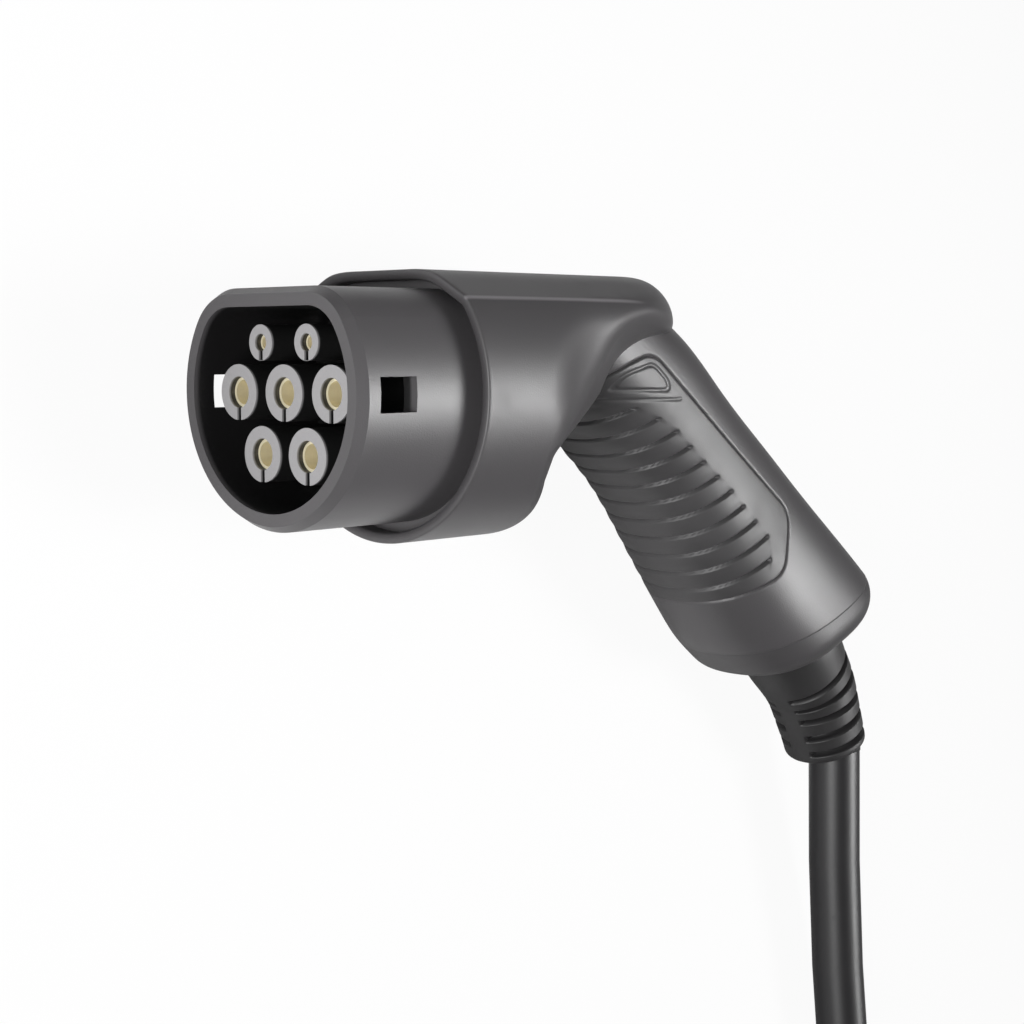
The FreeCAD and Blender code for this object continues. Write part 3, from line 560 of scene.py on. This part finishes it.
def shoulder_gap(x, y, z):
    """Distance outside the walls that close the head round the handle: two leaning planes
    with a hyperbola for a nose, cut off underneath by a blunter pair, the heel. Its edge
    runs up in a line, round a lower corner, and is notched under the handle."""
    nose = np.hypot(y, WALL_NOSE) - math.hypot(HEAD_RADIUS, WALL_NOSE)
    wall = (math.sin(WALL_LEAN) * (x - WALL_START - z / math.tan(WALL_RISE))
            + math.cos(WALL_LEAN) * nose)
    above = z - HEEL_LEVEL
    corner = np.sqrt(np.maximum(HEEL_ROUND ** 2 - np.minimum(above, 0) ** 2, 0))
    edge = 73.3 + corner + 0.36 * np.maximum(above, 0)
    edge = soft_most(edge, 91.5 + 1.83 * (z + 15.0), 3.0)
    heel = x + HEEL_SLOPE * (np.hypot(y, HEEL_NOSE) - 0.96) - edge
    return soft_most(wall / 1.07, heel / 1.35, 2.0)


def roof_gap(x, y, z):
    """Distance below the roof over the handle: a plane that rises to the rear, flat in the
    middle, with sides that lean up from there."""
    lean = 0.91 * soft_most(np.abs(y) - ROOF_HALF, np.zeros_like(y), 4.0)
    return (ROOF_HEIGHT + 0.14 * (x - 110.0) + lean - z) / 1.2


def head_gap(sizes, x, y, z):
    """Distance outside the head: inside its D and its round rear, and inside either the
    leaning walls or the roof."""
    outline = soft_most(section_gap(y, z), dome_gap(sizes, x, y, z), 2.0)
    inner = soft_least(shoulder_gap(x, y, z), roof_gap(x, y, z), sizes.hollow)
    return soft_most(outline, inner, sizes.edge)


def head_rings(sizes, x, inset, lift, around=300):
    """Rings round the head, one for each x. A point is where a ray from the ring's middle
    meets the form, found by halving the ray again and again."""
    turn = np.linspace(0, 2 * np.pi, around, endpoint=False)[None, :]
    x, inset = np.asarray(x, float)[:, None], np.asarray(inset, float)[:, None]
    middle_z = np.interp(x, *HEAD_MIDDLE) + lift
    near, away = np.zeros((x.shape[0], around)), np.full((x.shape[0], around), 60.0)
    for _ in range(30):
        reach = (near + away) / 2
        outside = head_gap(sizes, x, reach * np.sin(turn),
                           middle_z + reach * np.cos(turn)) + inset > 0
        near, away = np.where(outside, near, reach), np.where(outside, reach, away)
    reach = (near + away) / 2
    return np.stack([x + 0 * reach, reach * np.sin(turn), middle_z + reach * np.cos(turn)], -1)


def skin(name, places, faces):
    """A closed smooth mesh from level points."""
    mesh = bpy.data.meshes.new(name)
    mesh.from_pydata(lying(places).tolist(), [], faces)
    facing_out(mesh)
    mesh.shade_smooth()
    return linked(name, mesh)


def joined_skin(name, rings):
    """A skin through rings of level points, the last ring joined to the first."""
    count, around = rings.shape[:2]
    here = np.arange(count * around).reshape(count, around)
    there = np.roll(here, -1, axis=1)
    sides = np.stack([here, there, np.roll(there, -1, axis=0), np.roll(here, -1, axis=0)], -1)
    return skin(name, rings.reshape(-1, 3), sides.reshape(-1, 4).tolist())


def closed_skin(name, rings):
    """A skin through rings of level points, with a point to close each end."""
    count, around = rings.shape[:2]
    here = np.arange(count * around).reshape(count, around)
    there = np.roll(here, -1, axis=1)
    sides = np.stack([here[:-1], there[:-1], there[1:], here[1:]], -1).reshape(-1, 4)
    first, last = count * around, count * around + 1
    start = np.stack([there[0], here[0], np.full(around, first)], -1)
    end = np.stack([here[-1], there[-1], np.full(around, last)], -1)
    places = np.concatenate([rings.reshape(-1, 3), rings[[0, -1]].mean(axis=1)])
    return skin(name, places, sides.tolist() + start.tolist() + end.tolist())


def facing_out(mesh):
    """Turns a closed mesh's faces round if they point inwards."""
    work = bmesh.new()
    work.from_mesh(mesh)
    if work.calc_volume(signed=True) < 0:
        bmesh.ops.reverse_faces(work, faces=work.faces)
    work.to_mesh(mesh)
    work.free()


# The handle in its own side view, along its slope and across it, in millimetres.
GRIP_ROOT = np.array([128.0, 0.0, -4.0])
GRIP_SLOPE = math.radians(42.6)
ALONG = np.array([math.cos(GRIP_SLOPE), 0.0, -math.sin(GRIP_SLOPE)])
DEPTH = np.array([math.sin(GRIP_SLOPE), 0.0, math.cos(GRIP_SLOPE)])
SQUARENESS = 2.4
GRIP_FRONT = np.array([[-32, -21.5], [-5, -21.5], [18, -20.8], [45, -24.8], [72, -28.8],
                       [86, -29.2], [98.5, -28.0]])
GRIP_BACK = np.array([[-32, 14.0], [-5, 21.8], [18, 22.6], [45, 24.4], [74, 26.2],
                      [110, 28.6], [127.5, 29.2]])
GRIP_WIDTH = np.array([21.5, 22.0, 22.3, 23.2, 24.8, 26.4, 26.4])
GRIP_START = -30.0
CAP_LENGTH = 13.0
PAD_END = 76.0
PAD_TURN = 2.15
PAD_PLACES = [(-18.5, 0.8), (60.3, 4.0), (67.1, -10.5), (-18.5, 0.8), (-25.5, -11.1)]
PAD_NORMALS = [(-0.09, 0.996), (0.83, 0.557), (0.92, -0.389), (-0.862, 0.507),
               (-0.99, 0.144)]
PANEL_CORNERS = np.array([[-21.5, -15.6], [-6.5, -2.2], [-8.0, -0.6], [-16.5, -1.4],
                          [-22.3, -10.8]])
RIB_PLACE = (-10.0, -6.0)
RIB_SHIFT = 0.9
RIB_TILT = math.radians(17.0)
RIBS_END = ([-22, -16.4, -10.3, -3.2, 4.8, 19.4, 33.5, 55, 60, 66],
            [-22, -17.1, -12.6, -9.8, -7.6, -6.5, -5.0, -4.4, -7.8, -14])


def smooth_through(knots, values, at):
    """A natural cubic spline: cubic pieces through the values, with matching slopes and
    bends where they join and no bend at the two ends."""
    gap = np.diff(knots)
    count = len(knots)
    system, right = np.eye(count), np.zeros((count,) + values.shape[1:])
    inner = np.arange(1, count - 1)
    system[inner, inner - 1], system[inner, inner + 1] = gap[:-1], gap[1:]
    system[inner, inner] = 2 * (gap[:-1] + gap[1:])
    wide = gap.reshape((-1,) + (1,) * (values.ndim - 1))
    steep = np.diff(values, axis=0) / wide
    right[1:-1] = 6 * np.diff(steep, axis=0)
    bend = np.linalg.solve(system, right.reshape(count, -1)).reshape(values.shape)
    piece = np.clip(np.searchsorted(knots, at) - 1, 0, count - 2)
    shape = at.shape + (1,) * (values.ndim - 1)
    width, low = gap[piece].reshape(shape), (at - knots[piece]).reshape(shape)
    high = width - low
    return ((bend[piece] * high ** 3 + bend[piece + 1] * low ** 3) / (6 * width)
            + (values[piece] / width - bend[piece] * width / 6) * high
            + (values[piece + 1] / width - bend[piece + 1] * width / 6) * low)


def grip_places(way, turn, sunk=None):
    """Places on the handle: squared ellipses, |u / depth|^p + |v / width|^p = 1, between a
    front line and a back line that run smoothly through their stations. Gives the side
    view's along and depth, and y.

    sunk, a function of along, depth and y, says how far a place lies under the surface."""
    knots = (GRIP_FRONT[:, 0] + GRIP_BACK[:, 0]) / 2
    front = smooth_through(knots, GRIP_FRONT, way)
    back = smooth_through(knots, GRIP_BACK, way)
    width = smooth_through(knots, GRIP_WIDTH, way)
    centre, across = (front + back) / 2, back - front
    depth = np.linalg.norm(across, axis=-1) / 2
    across = across / (2 * depth[..., None])
    u, v = np.cos(turn), np.sin(turn)
    power = SQUARENESS
    reach = (np.abs(u / depth) ** power + np.abs(v / width) ** power) ** (-1 / power)
    out_u = np.sign(u) * np.abs(reach * u / depth) ** (power - 1) / depth
    out_v = np.sign(v) * np.abs(reach * v / width) ** (power - 1) / width
    size = np.hypot(out_u, out_v)
    plane, y = centre + across * (reach * u)[..., None], reach * v
    if sunk is not None:
        drop = sunk(plane[..., 0], plane[..., 1], y)
        plane = plane - across * (drop * out_u / size)[..., None]
        y = y - drop * out_v / size
    return plane, y


def sunk_by(depth):
    """Says that every place of the handle lies that far under the surface."""
    return lambda along, level, y: 0 * y + depth


def in_level(plane, y):
    """Level points from along, depth and y."""
    return (GRIP_ROOT + plane[..., :1] * ALONG + plane[..., 1:] * DEPTH
            + np.stack([0 * y, y, 0 * y], -1))


def parting_way(turn):
    """Where each line along the handle meets the plane of the end cap's parting, found by
    halving its length again and again."""
    end = (GRIP_FRONT[-1] + GRIP_BACK[-1]) / 2
    across = GRIP_BACK[-1] - GRIP_FRONT[-1]
    out = np.array([across[1], -across[0]]) / np.linalg.norm(across)
    near, away = np.full(turn.shape, 40.0), np.full(turn.shape, 113.0)
    for _ in range(30):
        way = (near + away) / 2
        beyond = (grip_places(way, turn)[0] - end) @ out > -CAP_LENGTH
        near, away = np.where(beyond, near, way), np.where(beyond, way, away)
    return (near + away) / 2


def beside_lines(points, normals, along, depth, reach):
    """The largest of the distances from several lines, softened where they meet."""
    gap = None
    for (place, level), (x, y) in zip(points, normals):
        size = math.hypot(x, y)
        away = ((along - place) * x + (depth - level) * y) / size
        gap = away if gap is None else soft_most(gap, away, reach)
    return gap


def pad_gap(along, depth):
    """Distance outside the grip pad's outline in the side view, a five-sided form."""
    return beside_lines(PAD_PLACES, PAD_NORMALS, along, depth, 4.0)


def panel_gap(along, depth):
    """Distance outside the bare panel on the neck, a rounded five-sided form."""
    edges = np.roll(PANEL_CORNERS, -1, axis=0) - PANEL_CORNERS
    normals = np.stack([edges[:, 1], -edges[:, 0]], -1)
    return beside_lines(PANEL_CORNERS, normals, along, depth, 2.0)


def groove_side(gap):
    """Depth of a surface that dips at the pad's outline: nothing away from it, half a
    millimetre at it, and a millimetre more beyond, where the other surface lies on top."""
    return 0.5 * ease(1 - gap / 0.5) + ease(-gap / 0.6)


def ribs_drop(sizes, along, depth):
    """Depth of the ribs: a row of waves across the pad with a narrow groove between each
    two, fading out where the side turns flat."""
    across = ((along - RIB_PLACE[0]) * math.cos(RIB_TILT)
              - (depth - RIB_PLACE[1]) * math.sin(RIB_TILT) - RIB_SHIFT)
    step = np.clip(np.round(across / sizes.rib_pitch), -1, 10)
    off = across - step * sizes.rib_pitch
    groove = sizes.rib_depth * ease(1.3 - np.abs(off) / 0.5)
    wave = 0.22 * (0.5 + 0.5 * np.cos(2 * np.pi * off / sizes.rib_pitch))
    wave = wave * (np.abs(off) < sizes.rib_pitch / 2)
    stop = np.interp(along, *RIBS_END)
    return (groove + wave) * ease((stop - depth) / 1.4 + 0.5)


def lines_drop(along, depth):
    """Depth of the fine lines on the neck: the panel's outline and the line below it."""
    panel = 0.35 * ease(1.5 - np.abs(panel_gap(along, depth)) / 0.45)
    line = np.abs((along + 21.3) * 0.673 - (depth + 19.1) * 0.739)
    line = 0.25 * ease(1.5 - line / 0.4) * (along < -1) * (along > -21)
    return (panel + line) * (depth > -20)


def settle(piece, node, slot):
    """Dresses a piece and lets it stand for a CAD node."""
    dress(piece, FINISHES[slot])
    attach(piece, "root")
    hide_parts(node)


class CONNECTOR_OT_housing(bpy.types.Operator):
    """The housing's head and handle as smooth closed walls"""

    bl_idname = "connector.housing"
    bl_label = "Housing"

    def execute(self, context):
        sizes = InMillimetres(context.scene.connector_housing)
        self.head(sizes)
        self.handle(sizes)
        return {"FINISHED"}

    def head(self, sizes):
        """Rings from the front lip to the rear, closer where the form turns, and rings
        back to the front inside."""
        rear = DOME_START + sizes.rear_reach
        turn = np.linspace(math.asin(25.0 / sizes.rear_reach), np.pi / 2, 60)[1:-1]
        rows = np.concatenate([[HEAD_FRONT, 35.4, 35.7, HEAD_LIP], np.linspace(38, 58, 11),
                               np.linspace(58.6, 111, 105),
                               DOME_START + sizes.rear_reach * np.sin(turn)])
        inset = np.zeros(rows.size)
        inset[:3] = 0.5, 0.22, 0.05
        outer = head_rings(sizes, rows, inset, 0.0)
        depth = np.linspace(rear - 12, HEAD_LIP, 30)
        inner = head_rings(sizes, np.append(depth, HEAD_FRONT),
                           np.append(np.full(30, sizes.wall), sizes.wall - 0.5), 2.0)
        piece = closed_skin("housing_head", np.concatenate([inner, outer]))
        settle(piece, "handle_housing", "housing")

    def handle(self, sizes):
        """Squared ellipses from inside the head to the end cap, sunk where the pad lies,
        and back inside."""
        turn = np.linspace(0, 2 * np.pi, 320, endpoint=False)[None, :]
        length = parting_way(turn) - GRIP_START

        def seat(along, depth, y):
            return groove_side(pad_gap(along, depth))

        way = GRIP_START + length * np.linspace(0, 1, 236)[:, None]
        outer = in_level(*grip_places(way, turn + 0 * way, seat))
        way = GRIP_START + length * np.linspace(0.04, 1, 24)[:, None]
        inner = in_level(*grip_places(way, turn + 0 * way, sunk_by(sizes.wall)))
        piece = closed_skin("housing_handle", np.concatenate([inner, outer[::-1]]))
        settle(piece, "handle_housing", "housing")


class CONNECTOR_OT_grip_pad(bpy.types.Operator):
    """The soft pad in the handle, with its ribs, its rounded edge and the lines on the neck"""

    bl_idname = "connector.grip_pad"
    bl_label = "Grip pad"

    def execute(self, context):
        sizes = InMillimetres(context.scene.connector_pad)
        way = np.linspace(GRIP_START, PAD_END, 296)[:, None]

        def side(count, sunk):
            turn = np.pi + np.linspace(-PAD_TURN, PAD_TURN, count)[None, :]
            return in_level(*grip_places(way + 0 * turn, turn + 0 * way, sunk))

        def ribbed(along, depth, y):
            gap = pad_gap(along, depth)
            marks = np.maximum(ribs_drop(sizes, along, depth), lines_drop(along, depth))
            return groove_side(-gap) + marks * ease(-gap / 1.2)

        outer, inner = side(290, ribbed), side(36, sunk_by(sizes.thickness))
        piece = closed_skin("grip_pad_skin", np.concatenate([outer, inner[:, ::-1]], axis=1))
        settle(piece, "grip_pad", "pad")
        return {"FINISHED"}


# The strain relief's middle line in the level X and Z, in millimetres, and its radius.
RELIEF_LINE = np.array([[205.2, -75.7], [206.0, -78.1], [209.3, -83.6], [215.4, -91.0],
                        [221.2, -98.6], [225.2, -106.9], [228.8, -115.0], [230.6, -119.8]])
RELIEF_RADIUS = np.array([16.4, 16.4, 16.3, 15.3, 14.5, 13.9, 13.4, 13.2])
RELIEF_ROUND = 2.0
FIRST_SLIT = 4.4
CABLE_BEND = 50.0
MOUTH_LEVEL = -121.0


def slits_drop(sizes, slits, way, y, end):
    """Depth of the strain relief's slits, in turn on its two sides, from its end up."""
    drop = 0 * y
    for step in range(slits):
        side = -1 if step % 2 == 0 else 1
        off = np.abs(way - (end - FIRST_SLIT - sizes.slit_step * step))
        slit = ease((sizes.slit_width - off) / 0.35)
        drop = drop + sizes.slit_depth * slit * ease((side * y - 3.2) / 1.6)
    return drop


class CONNECTOR_OT_strain_relief(bpy.types.Operator):
    """The flexible relief: circles along a bent line, with slits, and the cable's bore"""

    bl_idname = "connector.strain_relief"
    bl_label = "Strain relief"

    def execute(self, context):
        settings = context.scene.connector_relief
        turn = np.linspace(0, 2 * np.pi, 200, endpoint=False)[None, :]
        outer = self.outside(InMillimetres(settings), settings.slits, turn)
        inner = self.bore(InMillimetres(context.scene.connector_cable), turn)
        piece = joined_skin("strain_relief_skin", np.concatenate([inner, outer[::-1]]))
        settle(piece, "strain_relief", "relief")
        return {"FINISHED"}

    def outside(self, sizes, slits, turn):
        """Circles square to a spline through the stations, the last ones drawn in to a
        round edge, each point sunk by the slits."""
        knots = np.append(0, np.cumsum(np.hypot(*np.diff(RELIEF_LINE, axis=0).T)))
        end = knots[-1]
        edge = RELIEF_ROUND * np.sin(np.linspace(0, np.pi / 2, 7))[1:]
        way = np.append(np.linspace(0, end - RELIEF_ROUND, 200), end - RELIEF_ROUND + edge)
        line = smooth_through(knots, RELIEF_LINE, way)
        slope = smooth_through(knots, RELIEF_LINE, way + 0.01) - line
        slope = slope / np.hypot(*slope.T)[:, None]
        inwards = np.maximum(way - end + RELIEF_ROUND, 0)
        radius = (smooth_through(knots, RELIEF_RADIUS, way) - RELIEF_ROUND
                  + np.sqrt(RELIEF_ROUND ** 2 - inwards ** 2))[:, None]
        radius = radius - slits_drop(sizes, slits, way[:, None], radius * np.sin(turn), end)
        out = radius * np.cos(turn)
        return np.stack([line[:, :1] - out * slope[:, 1:], radius * np.sin(turn),
                         line[:, 1:] + out * slope[:, :1]], -1)

    def bore(self, cable, turn):
        """Circles along an arc that ends straight down in the mouth."""
        mouth = LEVEL.inverted() @ relief_mouth() * 1000
        radius = cable.diameter / 2 + 0.2
        lean = np.linspace(0.75, 0, 40)[:, None]
        out = CABLE_BEND + radius * np.cos(turn)
        return np.stack([mouth.x - CABLE_BEND + out * np.cos(lean),
                         mouth.y + radius * np.sin(turn) + 0 * lean,
                         MOUTH_LEVEL + out * np.sin(lean)], -1)


# Shares of a turn in which the cable steps sideways and climbs a layer.
STEP_TURN = 0.14
CLIMB_TURN = 0.35


def coil_line(sizes, centre, height):
    """Control points of the coil, clockwise from above, from angle 0 round to angle 0.

    Lower layer: whole circles, each a diameter inside the last, with the step between two
    made at the end of a turn. The innermost climbs to the upper layer, which steps
    outwards the same way, half a turn on."""
    count = sizes.points_per_turn
    across = sizes.turns_across
    turns = np.arange(0, 2 * across * count + 1) / count
    inward = sum(ease((turns - whole) / STEP_TURN + 1) for whole in range(1, across))
    outward = sum(ease((turns - across - whole - 0.36) / STEP_TURN)
                  for whole in range(across - 1))
    radius = sizes.outer_turn + (outward - inward) * sizes.diameter
    level = height + ease((turns - across + 0.5) / CLIMB_TURN) * sizes.diameter
    swell = 1 / math.cos(math.pi / count)
    angle = -2 * math.pi * turns
    return np.stack([centre[0] + radius * swell * np.cos(angle),
                     centre[1] + radius * swell * np.sin(angle), level], 1)


class CONNECTOR_OT_cable(bpy.types.Operator):
    """The free cable: out of the strain relief, down to the surface and into its coil"""

    bl_idname = "connector.cable"
    bl_label = "Cable"

    def execute(self, context):
        sizes = context.scene.connector_cable
        half = sizes.diameter / 2
        low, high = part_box("charging_cable")
        middle_x = (low.x + high.x) / 2
        leave = relief_mouth()
        centre = (middle_x - sizes.outer_turn, middle("coil_tie").y)
        points = [leave, landing_point(leave, half), (middle_x, low.y, half)]
        turns = coil_line(sizes, centre, half)
        route = np.concatenate([[list(point) for point in points], turns, [far_end_start()]])
        curve = bpy.data.curves.new("charging_lead", "CURVE")
        curve.dimensions = "3D"
        curve.bevel_depth = half
        curve.bevel_resolution = 8
        curve.use_fill_caps = True
        line = curve.splines.new("NURBS")
        line.points.add(len(route) - 1)
        line.points.foreach_set("co", np.hstack([route, np.ones((len(route), 1))]).ravel())
        line.order_u = 3
        line.use_endpoint_u = True
        line.resolution_u = 4
        lead = linked("charging_lead", curve)
        dress(lead, FINISHES["jacket"])
        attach(lead, "root")
        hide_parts("charging_cable", "cable_coil")
        spline_length(route)
        sizes.diameter
        return {"FINISHED"}


def relief_mouth():
    """Where the cable leaves the strain relief: the middle of the free cable's first end."""
    mesh = frame["nodes"]["charging_cable"].data
    places = np.empty(len(mesh.vertices) * 3)
    mesh.vertices.foreach_get("co", places)
    places = places.reshape(-1, 3)
    end = places[places[:, 1] > places[:, 1].max() - 0.006]
    return Vector((end.min(0) + end.max(0)) / 2)


def landing_point(leave, half):
    """The corner where the cable, leaving along the relief, meets the surface."""
    way = LEVEL.to_3x3() @ Vector((0, 0, -1))
    return leave + way * ((leave.z - half) / -way.z)


def far_end_start():
    """Where the cable enters the gland at its far end."""
    low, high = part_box("gland_nut")
    return [(low.x + high.x) / 2, high.y, (low.z + high.z) / 2]


def spline_length(route):
    """The length of a clamped quadratic spline with those control points.

    Each stretch runs between the middles of two of the polygon's sides, and bends towards
    the corner between them; its length is summed over short steps."""
    points = np.asarray(route)
    joints = (points[:-1] + points[1:]) / 2
    joints[0], joints[-1] = points[0], points[-1]
    steps = np.linspace(0, 1, 17)[:, None, None]
    first, corner, last = joints[:-1], points[1:-1], joints[1:]
    line = (1 - steps) ** 2 * first + 2 * steps * (1 - steps) * corner + steps ** 2 * last
    return float(np.linalg.norm(np.diff(line, axis=0), axis=2).sum())


class CONNECTOR_OT_finishes(bpy.types.Operator):
    """Every carried-over CAD piece gets its finish from its slot"""

    bl_idname = "connector.finishes"
    bl_label = "Finishes"

    def execute(self, context):
        for row in frame["record"]["subparts"]:
            dress(frame["nodes"][row["node"]], FINISHES[row["material_slot"]])
        return {"FINISHED"}


CAMERA_PLACE = Vector((-0.275274, -0.342812, 0.010949))
CAMERA_TURN = 0.7642, -0.0889, -0.003
LAMP_TARGET = (-0.09, 0.09, 0.045)
WORLD_LIGHT = 0.13
FLOOR_GLOW = 0.94


def camera_matrix():
    """Camera at the photograph's place, found with the connector held level."""
    yaw, pitch, roll = CAMERA_TURN
    way = Vector((math.cos(pitch) * math.cos(yaw), math.cos(pitch) * math.sin(yaw),
                  math.sin(pitch)))
    right = way.cross(Vector((0, 0, 1))).normalized()
    up = right.cross(way)
    right, up = (right * math.cos(roll) + up * math.sin(roll),
                 up * math.cos(roll) - right * math.sin(roll))
    turn = Matrix((right, up, -way)).transposed().to_4x4()
    return LEVEL @ Matrix.Translation(CAMERA_PLACE) @ turn


def soft_lamp(name, place, target, size, power):
    """A square soft lamp at a place, turned to a target, both in the frame."""
    data = bpy.data.lights.new(name, "AREA")
    data.shape = "RECTANGLE"
    data.size, data.size_y = size
    data.energy = power
    lamp = linked(name, data)
    way = Vector(target) - Vector(place)
    lamp.matrix_world = (Matrix.Translation(Vector(place))
                         @ way.to_track_quat("-Z", "Y").to_matrix().to_4x4())
    return lamp


def floor_finish(colour):
    """A pale matt floor. The camera sees it nearly white, with a faint shadow."""
    made, tree, shader = new_material("studio floor")
    shader.inputs["Base Color"].default_value = tuple(colour) + (1.0,)
    shader.inputs["Roughness"].default_value = 0.9
    glow = tree.nodes.new("ShaderNodeEmission")
    glow.inputs["Color"].default_value = (1, 1, 1, 1)
    seen = add_node(tree, "ShaderNodeLightPath")
    blend = tree.nodes.new("ShaderNodeMixShader")
    tree.links.new((seen * FLOOR_GLOW).socket, blend.inputs[0])
    tree.links.new(shader.outputs[0], blend.inputs[1])
    tree.links.new(glow.outputs[0], blend.inputs[2])
    end = next(node for node in tree.nodes if node.type == "OUTPUT_MATERIAL")
    tree.links.new(blend.outputs[0], end.inputs[0])
    return made


class CONNECTOR_OT_studio(bpy.types.Operator):
    """The stage: pale floor, soft lamps and the camera at the photograph's angle"""

    bl_idname = "connector.studio"
    bl_label = "Studio"

    def execute(self, context):
        settings = context.scene.connector_studio
        self.floor(settings)
        self.camera(context, settings)
        sheen = soft_lamp("sheen", (0.46, -0.10, 0.72), LAMP_TARGET, (0.55, 0.6), 1.15)
        sheen.data.spread = math.radians(34)
        soft_lamp("front", (-0.85, -0.10, 0.40), LAMP_TARGET, (0.5, 0.5), 10)
        self.world(context)
        context.scene.view_settings.view_transform = "Standard"
        return {"FINISHED"}

    def floor(self, settings):
        """A flat square grid, just under the part."""
        side = np.linspace(-4, 4, 9)
        x, y = np.meshgrid(side, side)
        places = np.stack([x.ravel(), y.ravel(), np.full(x.size, -0.0002)], 1)
        cell = np.arange(x.size).reshape(x.shape)
        faces = np.stack([cell[:-1, :-1], cell[:-1, 1:], cell[1:, 1:], cell[1:, :-1]], -1)
        mesh = bpy.data.meshes.new("studio_floor")
        mesh.from_pydata(places.tolist(), [], faces.reshape(-1, 4).tolist())
        floor = linked("studio_floor", mesh)
        dress(floor, floor_finish(settings.floor_colour))

    def camera(self, context, settings):
        data = bpy.data.cameras.new("camera")
        data.sensor_width = 36
        data.lens = settings.lens
        data.clip_start = 0.01
        camera = linked("camera", data)
        camera.matrix_world = camera_matrix()
        context.scene.camera = camera

    def world(self, context):
        """Weak even light, seen white by the camera."""
        world = bpy.data.worlds.new("studio")
        world.use_nodes = True
        back = world.node_tree.nodes["Background"]
        back.inputs["Color"].default_value = (1, 1, 1, 1)
        seen = add_node(world.node_tree, "ShaderNodeLightPath")
        strength = seen * (1 - WORLD_LIGHT) + WORLD_LIGHT
        world.node_tree.links.new(strength.socket, back.inputs["Strength"])
        context.scene.world = world


class CONNECTOR_PT_pieces(bpy.types.Panel):
    """Lists the pieces and their settings"""

    bl_label = "Charging connector"
    bl_idname = "CONNECTOR_PT_pieces"
    bl_space_type = "VIEW_3D"
    bl_region_type = "UI"
    bl_category = "Connector"

    def draw(self, context):
        column = self.layout.column()
        for name in GROUPS:
            group = getattr(context.scene, name)
            for key in group.__annotations__:
                column.prop(group, key)
        for operator in OPERATORS:
            column.operator(operator.bl_idname)


GROUPS = {
    "connector_looks": ConnectorLooks,
    "connector_housing": HousingSizes,
    "connector_pad": PadSizes,
    "connector_relief": ReliefSizes,
    "connector_cable": CableSizes,
    "connector_studio": StudioSettings,
}
OPERATORS = [CONNECTOR_OT_finishes, CONNECTOR_OT_housing, CONNECTOR_OT_grip_pad,
             CONNECTOR_OT_strain_relief, CONNECTOR_OT_cable, CONNECTOR_OT_studio]
FINISHES = {}


def register():
    for name, group in GROUPS.items():
        bpy.utils.register_class(group)
        setattr(bpy.types.Scene, name, PointerProperty(type=group))
    for operator in OPERATORS:
        bpy.utils.register_class(operator)
    bpy.utils.register_class(CONNECTOR_PT_pieces)


def unregister():
    bpy.utils.unregister_class(CONNECTOR_PT_pieces)
    for operator in reversed(OPERATORS):
        bpy.utils.unregister_class(operator)
    for name, group in GROUPS.items():
        delattr(bpy.types.Scene, name)
        bpy.utils.unregister_class(group)


def main():
    """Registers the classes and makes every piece."""
    register()
    FINISHES.update(finish_for(bpy.context.scene.connector_looks))
    bpy.ops.connector.finishes()
    bpy.ops.connector.housing()
    bpy.ops.connector.grip_pad()
    bpy.ops.connector.strain_relief()
    bpy.ops.connector.cable()
    bpy.ops.connector.studio()
    bpy.context.view_layer.update()


if __name__ == "__main__":
    main()
